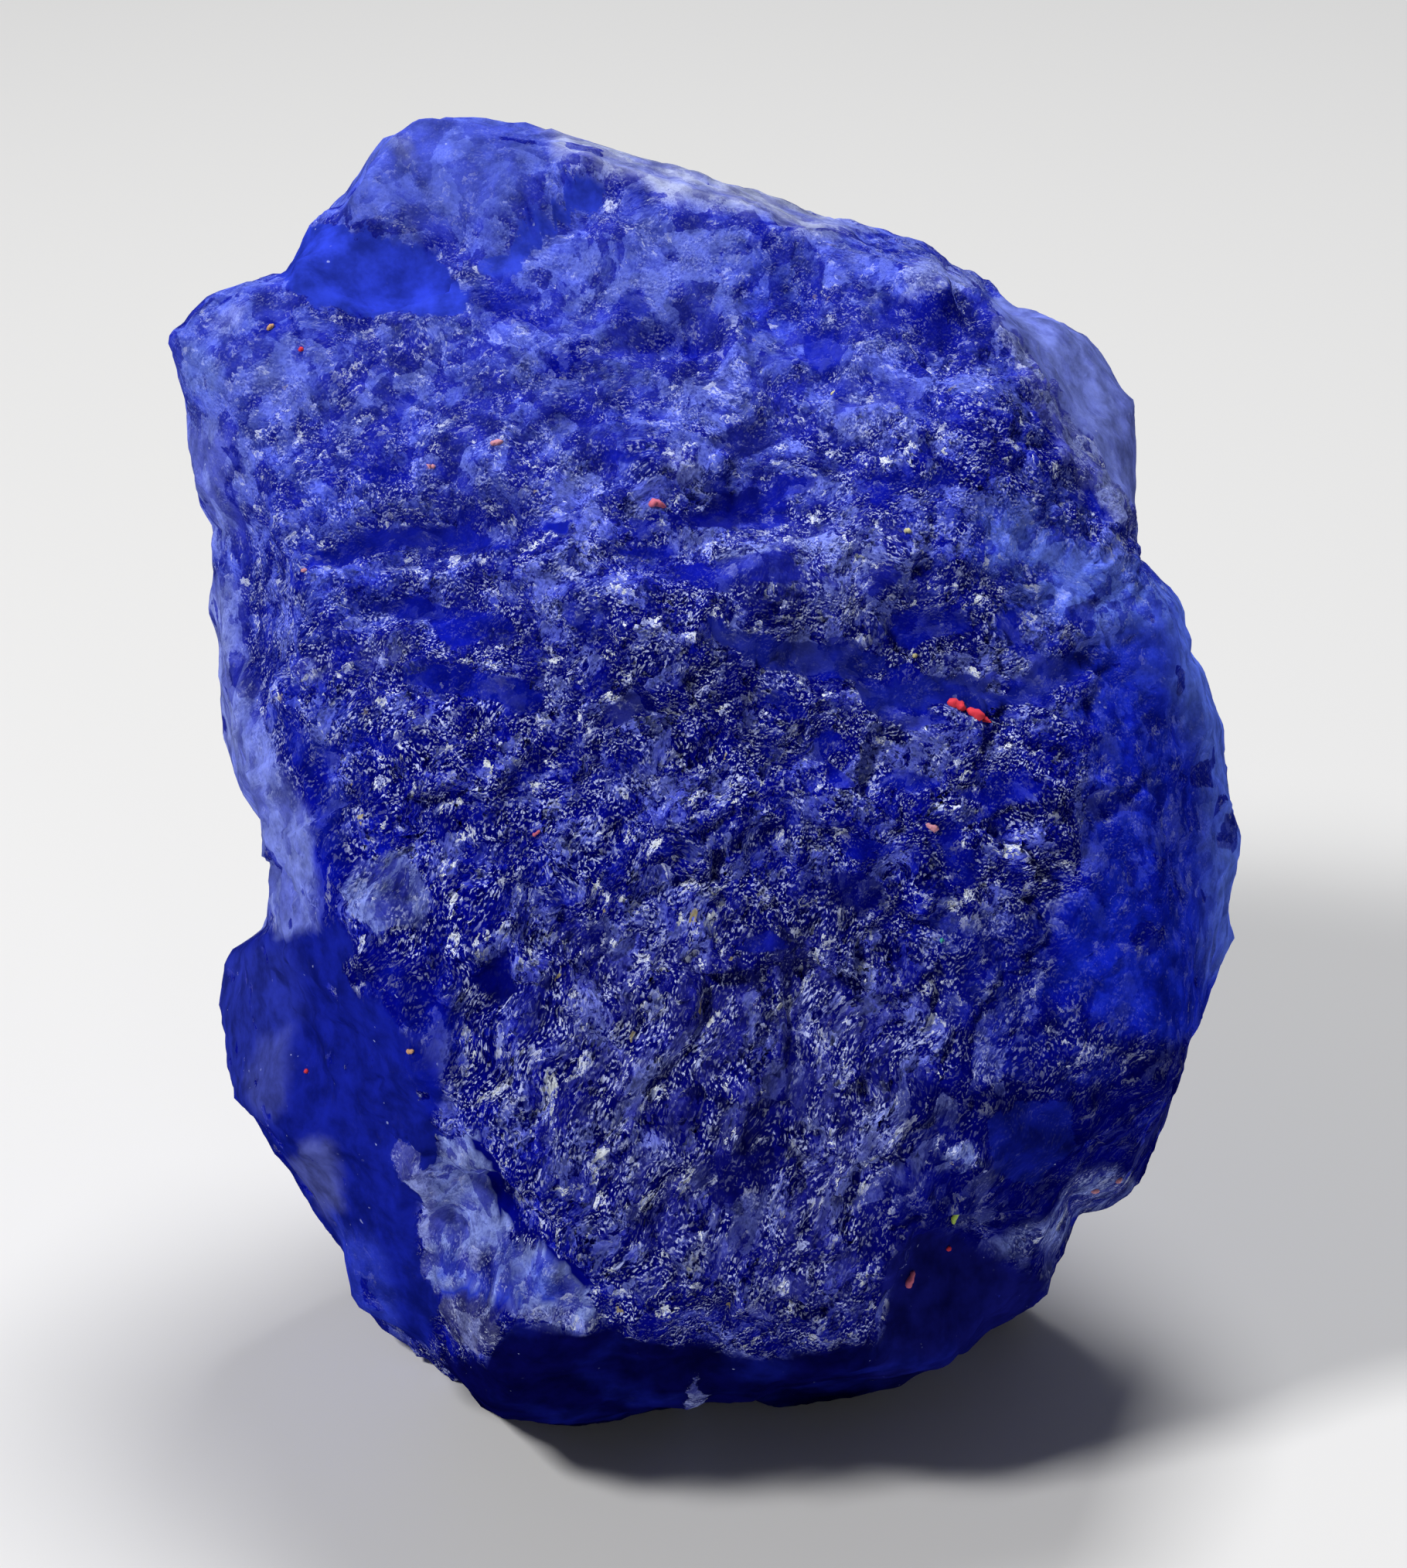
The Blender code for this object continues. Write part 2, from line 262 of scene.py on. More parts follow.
# The stone's main surface along each way from the heart: breaks, then struck hollows, then chips.
def brokenSurface(ways):
    heart = np.array(stone["heart"])
    swing, length = stone["wander"]
    onlyWide = [0 if reach == far else far for _, _, reach in breaks.values()]
    flat = heart + ways * breakReach(ways, onlyWide)[:, None]
    wander = []
    for number, (through, _, reach) in enumerate(breaks.values()):
        beyond = np.clip(np.linalg.norm(flat - np.array(through), axis=1) - reach, 0, None)
        wander.append(swing * smoothNoise(flat, length, seeds["breaks"] + number) + stone["curl"] * beyond)
    points = heart + ways * breakReach(ways, wander)[:, None]
    bent = strayed(points, stone["twist"], seeds["stoneTwist"])
    for number, (size, height) in enumerate(stone["struck"]):
        bowls = struckHollows(bent, size, seeds["hollows"] + number)
        points = points + ways * (height * (bowls - stone["bowlLevel"]))[:, None]
    front = np.clip((ways[:, 2] - stone["chipsFrom"]) * stone["chipsGrow"], 0, 1)
    depth = chipDepth(points) * front / np.clip(ways[:, 2], stone["slantLeast"], 1)
    return points - ways * depth[:, None]


# The stone's own frame turned about the heart, so that the broad face leans back: Y = v sin - w cos,
# Z = v cos + w sin.
def leantBack(points):
    lean = math.radians(stone["lean"])
    u, v, w = (points - stone["heart"]).T
    back = v * math.sin(lean) - w * math.cos(lean)
    return np.stack([u, back, v * math.cos(lean) + w * math.sin(lean)], axis=1)


# The points turned upright, with the underside cut flat at Z = 0.
def standUp(points):
    ground = stone["ground"]
    upright = leantBack(points)
    below = upright[:, 2] < -ground
    upright[below] *= (ground / -upright[below, 2])[:, None]
    upright[:, 2] += ground
    return upright


# A box of squares with its edges shared: points from -1 to 1 each way, and squares as four point numbers.
def cubeLattice(squares):
    points, faces, count = [], [], 0
    for axis in range(3):
        across, up = (axis + 1) % 3, (axis + 2) % 3
        i, j = np.meshgrid(np.arange(squares[across] + 1), np.arange(squares[up] + 1), indexing="ij")
        for end in (0, squares[axis]):
            side = np.empty(i.shape + (3,), int)
            side[..., axis], side[..., across], side[..., up] = end, i, j
            number = count + np.arange(i.size).reshape(i.shape)
            corners = [number[:-1, :-1], number[1:, :-1], number[1:, 1:], number[:-1, 1:]]
            corners = np.stack(corners, axis=-1)
            faces.append(corners.reshape(-1, 4)[:, :: 1 if end else -1])
            points.append(side.reshape(-1, 3))
            count += i.size
    merged, home = np.unique(np.concatenate(points), axis=0, return_inverse=True)
    return merged / np.array(squares) * 2 - 1, home.reshape(-1)[np.concatenate(faces)]


# Way = the cube's point, spread by tan(x pi / 4) so its squares come out even, stretched to the half size.
def waysFrom(cube):
    spread = np.tan(cube * math.pi / 4)
    ways = spread / np.linalg.norm(spread, axis=1, keepdims=True) * stone["halfSize"]
    return ways / np.linalg.norm(ways, axis=1, keepdims=True)


# Where the upright stone sits in the frame: the middle of the solid's own box goes over the origin.
def stoneShift():
    cube, _ = cubeLattice(stone["solidSquares"])
    solid = standUp(brokenSurface(waysFrom(cube)))
    middle = (solid.max(axis=0) + solid.min(axis=0)) / 2
    size = (solid.max(axis=0) - solid.min(axis=0)) * mm
    low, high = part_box("sapphire")
    print("solid as worked out", size.round(5), "as packed", np.array(high - low).round(5))
    return np.array([middle[0], middle[1], 0])


shift = stoneShift()


# A place (u, v, w) of the stone's frame as a place of the scene, in metres.
def placed(points):
    return (leantBack(np.atleast_2d(points)) + (0, 0, stone["ground"]) - shift) * mm


view = {
    "aim": (0.0, -0.6, 0.0),
    "away": 240.0,
    "pixelsPerMm": 23.5,  # on the plane w = 0, in a frame 2028 pixels high
    "frameHeight": 2028,
    "sensor": 36.0,
    "nearest": 0.01,  # in metres, what is nearer than this isn't seen
}


def placeCamera():
    aim = Vector(placed(view["aim"])[0])
    eye = Vector(placed(np.array(view["aim"]) + (0, 0, view["away"]))[0])
    camera = bpy.data.objects.new("camera", bpy.data.cameras.new("camera"))
    bpy.context.scene.collection.objects.link(camera)
    camera.location = eye
    camera.rotation_mode = "QUATERNION"
    camera.rotation_quaternion = (aim - eye).to_track_quat("-Z", "Y")
    camera.data.sensor_width = view["sensor"]
    camera.data.lens = view["pixelsPerMm"] * view["away"] / view["frameHeight"] * view["sensor"]
    camera.data.clip_start = view["nearest"]
    bpy.context.scene.camera = camera


placeCamera()

# Each lamp: place and size in metres, watts, colour.
lamps = {
    "key": ((-0.40, -0.26, 0.56), 0.12, 3.8, (1.0, 0.99, 0.97)),
    "front": ((0.16, -0.62, 0.34), 0.10, 0.15, (0.97, 0.98, 1.0)),
    "top": ((0.06, 0.20, 0.62), 0.20, 2.7, (1.0, 1.0, 1.0)),
}
lampsAimAt = (0, 0, 0.035)
world = {"colour": (0.93, 0.95, 1.0), "strength": 0.08}
floorLook = {"half": 1.2, "colour": (0.74, 0.74, 0.74), "roughness": 0.6}


def hangLamps():
    for name, (place, size, watts, colour) in lamps.items():
        lamp = bpy.data.lights.new(name, "AREA")
        lamp.size, lamp.energy, lamp.color = size, watts, colour
        holder = bpy.data.objects.new(name, lamp)
        bpy.context.scene.collection.objects.link(holder)
        holder.location = place
        holder.rotation_mode = "QUATERNION"
        holder.rotation_quaternion = (Vector(lampsAimAt) - Vector(place)).to_track_quat("-Z", "Y")
    sky = bpy.data.worlds.new("studio")
    sky.use_nodes = True
    background = sky.node_tree.nodes["Background"]
    background.inputs["Color"].default_value = (*world["colour"], 1)
    background.inputs["Strength"].default_value = world["strength"]
    bpy.context.scene.world = sky
    bpy.context.scene.view_settings.view_transform = "Standard"


def layFloor():
    half = floorLook["half"]
    mesh = bpy.data.meshes.new("floor")
    corners = [(-half, -half, 0), (half, -half, 0), (half, half, 0), (-half, half, 0)]
    mesh.from_pydata(corners, [], [(0, 1, 2, 3)])
    board = bpy.data.objects.new("floor", mesh)
    bpy.context.scene.collection.objects.link(board)
    paint = bpy.data.materials.new("palePaper")
    paint.use_nodes = True
    shader = paint.node_tree.nodes["Principled BSDF"]
    shader.inputs["Base Color"].default_value = (*floorLook["colour"], 1)
    shader.inputs["Roughness"].default_value = floorLook["roughness"]
    mesh.materials.append(paint)


hangLamps()
layFloor()
print("camera, lamps and floor set")

relief = {
    "twist": ((0.9, 3.1), (0.35, 1.2)),  # how the crystals are bent, and over what lengths
    "crystals": ((5.2, 0.36, 0.5), (2.3, 0.48, 0.6), (1.25, 0.5, 0.4)),  # size, steepness, share of tone
    "crystalSquash": (1, 1, 0.6),
    "sidesLeft": 0.4,  # how much of the relief the sides and the back keep
    "calmLeft": 0.22,  # how much of the relief a smooth zone keeps
    "grit": (0.85, 0.10),  # size, height
    "ledgeRise": 0.42,
    "ledgePitch": 2.3,
    "ledgeDrop": 5,  # how many times faster a ledge drops than it climbs
    "ledgeWaves": ((2.4, 4.2), (0.8, 1.7)),  # how far the ledges swing, and over what lengths
    "ledgeLength": 3.0,
    "ledgeGaps": (-0.15, 0.4),  # the noise at which a ledge begins and is full
    "ledgeMiddle": 0.4,  # the height on a ledge that lies on the stone's main surface
    "flakeRise": 0.45,
    "flakeMiddle": 0.55,  # the same, of a flake
    "flakeBend": ((0.5, 2.0),),
    "flakeAlong": 3.4,
    "flakeAcross": 0.95,
    "flakeDeep": 2.0,
    "flakeTurn": 18.0,  # degrees from upright, leaning right
    "flakeCentre": (0.0, -17.0, 13.0),
    "flakeReach": 13.0,
    "flakeSqueeze": 0.6,
    "grainBend": ((0.5, 2.2),),
    "grainOffset": 50,  # keeps the grains' pattern away from its own origin
    "patchTakes": (0.3, 0.7),  # how far inside a patch its calm begins and is full
    "frontTakes": (0.15, 0.6),  # how squarely a way faces the front as the relief comes to its full height
}
# How much the crystals' tone and the relief's height brighten a place. By height this is painted light and
# shade: raised places paler, hollows darker.
sheen = {"middle": 0.5, "tone": 0.55, "height": 0.35}


# 0 below low, 1 above high, eased between.
def smoothStep(value, low, high):
    part = np.clip((value - low) / (high - low), 0, 1)
    return part * part * (3 - 2 * part)


# The points' (u, v) as they are seen from the camera's side, on the plane w = 0.
def seenFromFront(points):
    grow = view["away"] / (view["away"] - points[:, 2])
    aimV = view["aim"][1]
    return np.stack([points[:, 0] * grow, (points[:, 1] - aimV) * grow + aimV], axis=1)


# 1 inside an ellipse, 0 outside, with an edge of the given softness.
def patchMask(seen, centre, halfLength, halfWidth, turn=0.0, soft=0.35):
    turn = math.radians(turn)
    u, v = seen[:, 0] - centre[0], seen[:, 1] - centre[1]
    along = (u * math.cos(turn) + v * math.sin(turn)) / halfLength
    across = (v * math.cos(turn) - u * math.sin(turn)) / halfWidth
    return smoothStep(-np.hypot(along, across), -1 - soft, -1 + soft)


# The line where the lower left bevel begins, as (u, v) points.
ridgeLine = ((-21.3, -6.8), (-18.3, -11.1), (-14.9, -16.2), (-13.6, -20.4), (-15.3, -22.6), (-15.1, -27.7))

# Turns a point so that its second number runs along the flakes.
flakeWay = math.radians(relief["flakeTurn"])
leaning = np.array(
    ((math.cos(flakeWay), -math.sin(flakeWay), 0), (math.sin(flakeWay), math.cos(flakeWay), 0), (0, 0, 1))
)

# Colours as linear red, green, blue.
hues = {
    "body": (0.005, 0.010, 0.345),
    "navy": (0.0006, 0.0014, 0.140),
    # night and abyss are painted shade, for the lower right corner and the undercut
    "night": (0.0070, 0.0085, 0.140),
    "abyss": (0.0018, 0.0018, 0.055),
    "deepBlue": (0.006, 0.012, 0.240),
    "vivid": (0.008, 0.024, 0.560),
    "royal": (0.003, 0.008, 0.330),
    "lavender": (0.090, 0.130, 0.600),
    "glow": (0.030, 0.055, 0.560),
    "scoop": (0.020, 0.040, 0.470),
    "frost": (0.260, 0.310, 0.640),
    "sky": (0.100, 0.150, 0.520),
    "slate": (0.190, 0.250, 0.620),
    "pale": (0.180, 0.230, 0.660),
    "bright": (0.090, 0.140, 0.620),
    # painted light shining through thin edges
    "litThrough": (0.130, 0.220, 0.900),
    "chalk": (0.330, 0.370, 0.560),
    "grey": (0.100, 0.110, 0.270),
}

# The coats under the swathes: hue, strength, calm (1 = glassy), and the measure at which each begins
# and is full.
coats = {
    # painted light on the upper part, which faces up, and a calmer finish there
    "paleTop": ("lavender", 0.66, 0.86, 4, 25),
    # painted shade on the middle band, which faces the front
    "darkBand": ("navy", 0.72, 0.3, -14, 2),
    # painted light shining through the thin edges
    "thinEdges": ("glow", 0.5, 0.6, 0.84, 0.99),
    "paleSides": ("lavender", 0.6, 0.7, 0.10, 0.6),
    "darkSides": ("royal", 0.8, 0.75, 0.15, 0.6),
    "paleClouds": ("lavender", 0.35, 0.5, 0.1, 0.7),
    "darkClouds": ("royal", 0.45, 0.5, 0.1, 0.7),
    "bevel": ("deepBlue", 0.97, 0.95, -0.4, 0.4),
    "undercutMottle": ("deepBlue", 0.45, 0.9, 0.0, 0.7),
    "ledgeStreaks": ("lavender", 0.5, 0.8, 0.1, 0.5),
}
bareCalm = 0.1  # how calm the stone is where nothing is laid

# Where those coats lie, and the noises that shape them: two sizes, and the second one's share.
coatShapes = {
    "topSlant": 0.25,  # how the pale top's border climbs to the right
    "bandSlant": 0.06,
    "bandHeight": 5.5,
    "bandHalf": 4.5,
    "edgesUp": (-22, -10),  # v at which the thin edges begin and are full
    "cloudsUp": (2, 16),
    "bevelDown": (7.5, 9.5),
    "swathes": ((9.0, 4.0), 0.5),
    "clouds": ((3.2, 1.5), 0.6),
    "streaks": ((0.55, 1.1), 0.5),
    "streakWay": (0.34, 0.94),  # across the streaks, as u and v
    "streakStretch": 0.2,
}

# Soft swathes: hue, strength, calm, softness in mm, outline as seen from the front.
swathes = {
    "topLobe": (
        "lavender", 0.8, 0.85, 1.4,
        (
            (-22.5, 31), (-20, 34), (-15, 38), (-8, 38), (-7, 35), (-9.5, 31.8), (-12, 30), (-15, 29.6),
            (-20, 30.4),
        ),
    ),
    "faceTop": (
        "lavender", 0.5, 0.74, 1.5,
        ((-13.5, 31), (-8, 30), (-1, 31), (4, 29), (1, 24), (-5, 22), (-12, 24.5)),
    ),
    "corner": (
        "lavender", 0.55, 0.82, 1.2,
        ((-30, 26), (-23, 28.5), (-22, 23), (-25, 19.5), (-25.5, 11), (-29, 13)),
    ),
    "darkBesideWall": (
        "royal", 0.9, 0.82, 0.6,
        ((-23.3, 3.1), (-21.7, 2.4), (-20.6, -0.5), (-19.2, -3), (-20.3, -8), (-21, -8.5), (-22.6, -1.2)),
    ),
    "leftWall": (
        "pale", 0.9, 0.85, 0.35,
        (
            (-27.6, 11.5), (-25.1, 10.2), (-25.1, 7.4), (-24.9, 5.2), (-23.7, 1.6), (-22.1, -2.3),
            (-21.4, -5.1), (-21.2, -8.4), (-23.4, -9.0), (-26, -4), (-28.5, 0),
        ),
    ),
    "wallFrost": ("frost", 0.55, 0.8, 0.5, ((-28, 10.5), (-26.4, 9.5), (-26, 5), (-25.6, 1.5), (-28, 1))),
    "rightShoulder": ("glow", 0.5, 0.4, 3.0, ((11, 22), (22, 18), (27, 8), (25, -4), (20, 2), (14, 10))),
    # painted light shining through the thin right edge
    "rightGlow": (
        "litThrough", 0.8, 0.8, 1.6,
        ((16, 14.5), (20, 13), (23.5, 11.5), (27, 9), (28.5, 4), (25, 4), (22, 7.5), (18, 10), (15.5, 12)),
    ),
    "rightCalm": (
        "deepBlue", 0.7, 0.75, 1.6,
        ((13, -8), (20, -6), (27, -8), (29, -16), (27, -22), (20, -18), (14, -17), (12, -12)),
    ),
    "besideRidge": (
        "royal", 0.85, 0.86, 0.8,
        ((-18.5, -9), (-16, -10), (-13.6, -13), (-13.8, -16.5), (-15, -18.5), (-17, -14)),
    ),
    "middlePale": ("pale", 0.6, 0.35, 1.5, ((1, 13.2), (9, 13.8), (11, 10.5), (6, 9.5), (1, 10.5))),
    "cornerGlow": ("pale", 0.92, 0.8, 1.0, ((-29.5, 19.5), (-26, 19), (-25.2, 13), (-28.5, 12))),
    "leftShoulder": ("glow", 0.4, 0.4, 3.0, ((-26, 20), (-17, 18), (-16, 6), (-20, -2), (-25, 4))),
    "rightFlank": (
        "vivid", 0.85, 0.85, 1.4,
        ((20.5, 7), (26, 9), (32, 6), (32, -16), (25, -15), (19, -12), (21, -3)),
    ),
    # painted light shining through the right edge
    "rightEdge": (
        "litThrough", 0.88, 0.85, 1.2,
        ((25, 13), (32, 8), (32, -12), (27.8, -11), (28, -2), (26, 6)),
    ),
    # painted sheen on the lower middle
    "lowerSheen": ("grey", 0.35, 0.05, 3.5, ((-8, -9), (6, -8), (12, -13), (9, -30), (-3, -27), (-9, -18))),
    "upperRightSpeckle": (
        "royal", 0.6, 0.3, 1.2,
        ((10, 18.3), (15.7, 19.3), (18.3, 18.3), (20.3, 16.3), (16.3, 15.3), (12.3, 16.3)),
    ),
    # painted shade: the undercut, which faces down, is painted nearly black
    "undercut": (
        "abyss", 0.97, 0.97, 0.35,
        (
            (-16.5, -31.5), (-15, -32.3), (-12, -32.2), (-11.2, -31), (-10, -30.1), (-4.9, -30.7),
            (0.3, -31.4), (2, -32), (5.5, -31.7), (8.9, -31.3), (10.3, -30.6), (24, -30), (24, -42),
            (-20, -42),
        ),
    ),
    # painted shade under the lower right corner, which faces down
    "lowerRight": (
        "navy", 0.92, 0.80, 0.45,
        (
            (10, -33), (10.3, -25.1), (10, -24.1), (12.7, -24.1), (15.5, -25.4), (16.6, -23.4), (15.2, -21),
            (15.5, -19.2), (17.2, -18.2), (20.3, -18), (20.7, -19.5), (22.7, -18), (24.1, -15.4),
            (26.2, -14.8), (32, -13), (32, -36),
        ),
    ),
    # painted shade above the lower right undercut
    "lowerRightUpper": (
        "navy", 0.9, 0.82, 0.8,
        (
            (10.4, -17.5), (14, -16.5), (18, -17.5), (24, -17), (27, -20), (24, -25), (15.5, -25),
            (10.4, -25),
        ),
    ),
    # painted shade, darkest, in the lower right undercut
    "lowerRightNight": (
        "night", 0.95, 0.97, 0.6,
        ((10.2, -25.2), (13, -25.0), (16, -27), (19, -28), (18, -31), (9, -36), (9.6, -31)),
    ),
    "lowRightRidge": (
        "slate", 0.7, 0.25, 0.4,
        (
            (16.2, -25.8), (19.3, -24.4), (20.7, -22), (22.7, -21.7), (23.8, -23), (21, -24.1),
            (19.6, -25.8), (17.2, -26.5),
        ),
    ),
    "bevelCloud": (
        "lavender", 0.12, 0.9, 0.9,
        ((-26.5, -9.5), (-22.5, -9.2), (-22.0, -13), (-24, -19.5), (-27.5, -17)),
    ),
    "bevelFrost": (
        "frost", 0.11, 0.9, 0.5,
        ((-24.5, -14.9), (-22.8, -14.1), (-22.8, -15.8), (-23.1, -18.6), (-24.5, -18.9), (-25.4, -16.8)),
    ),
    "rimFrost": (
        "frost", 0.25, 0.85, 0.5,
        (
            (-22.9, -21.3), (-21.6, -20.3), (-20.4, -20.6), (-20.2, -22), (-19.7, -23.7), (-20.7, -24.4),
            (-21.9, -23),
        ),
    ),
    "rimGlow": (
        "glow", 0.6, 0.8, 0.8,
        ((-20.5, -24.4), (-18.7, -25.4), (-17.3, -28.2), (-16.9, -30.6), (-18.3, -31.5), (-21, -27.2)),
    ),
    "topLedge": (
        "chalk", 0.97, 0.8, 0.5,
        (
            (-9.3, 36.2), (-6.3, 36), (-1, 34.4), (1, 33.5), (5, 32.2), (9.6, 30.8), (9.2, 29.9),
            (7.3, 29.8), (3, 30.5), (0.3, 31.3), (-2.7, 32.3), (-5, 33.2), (-8, 34.4),
        ),
    ),
    "topEdge": ("lavender", 0.5, 0.6, 0.8, ((9, 31.5), (17, 27), (16, 25), (10, 28.5), (7, 30))),
}

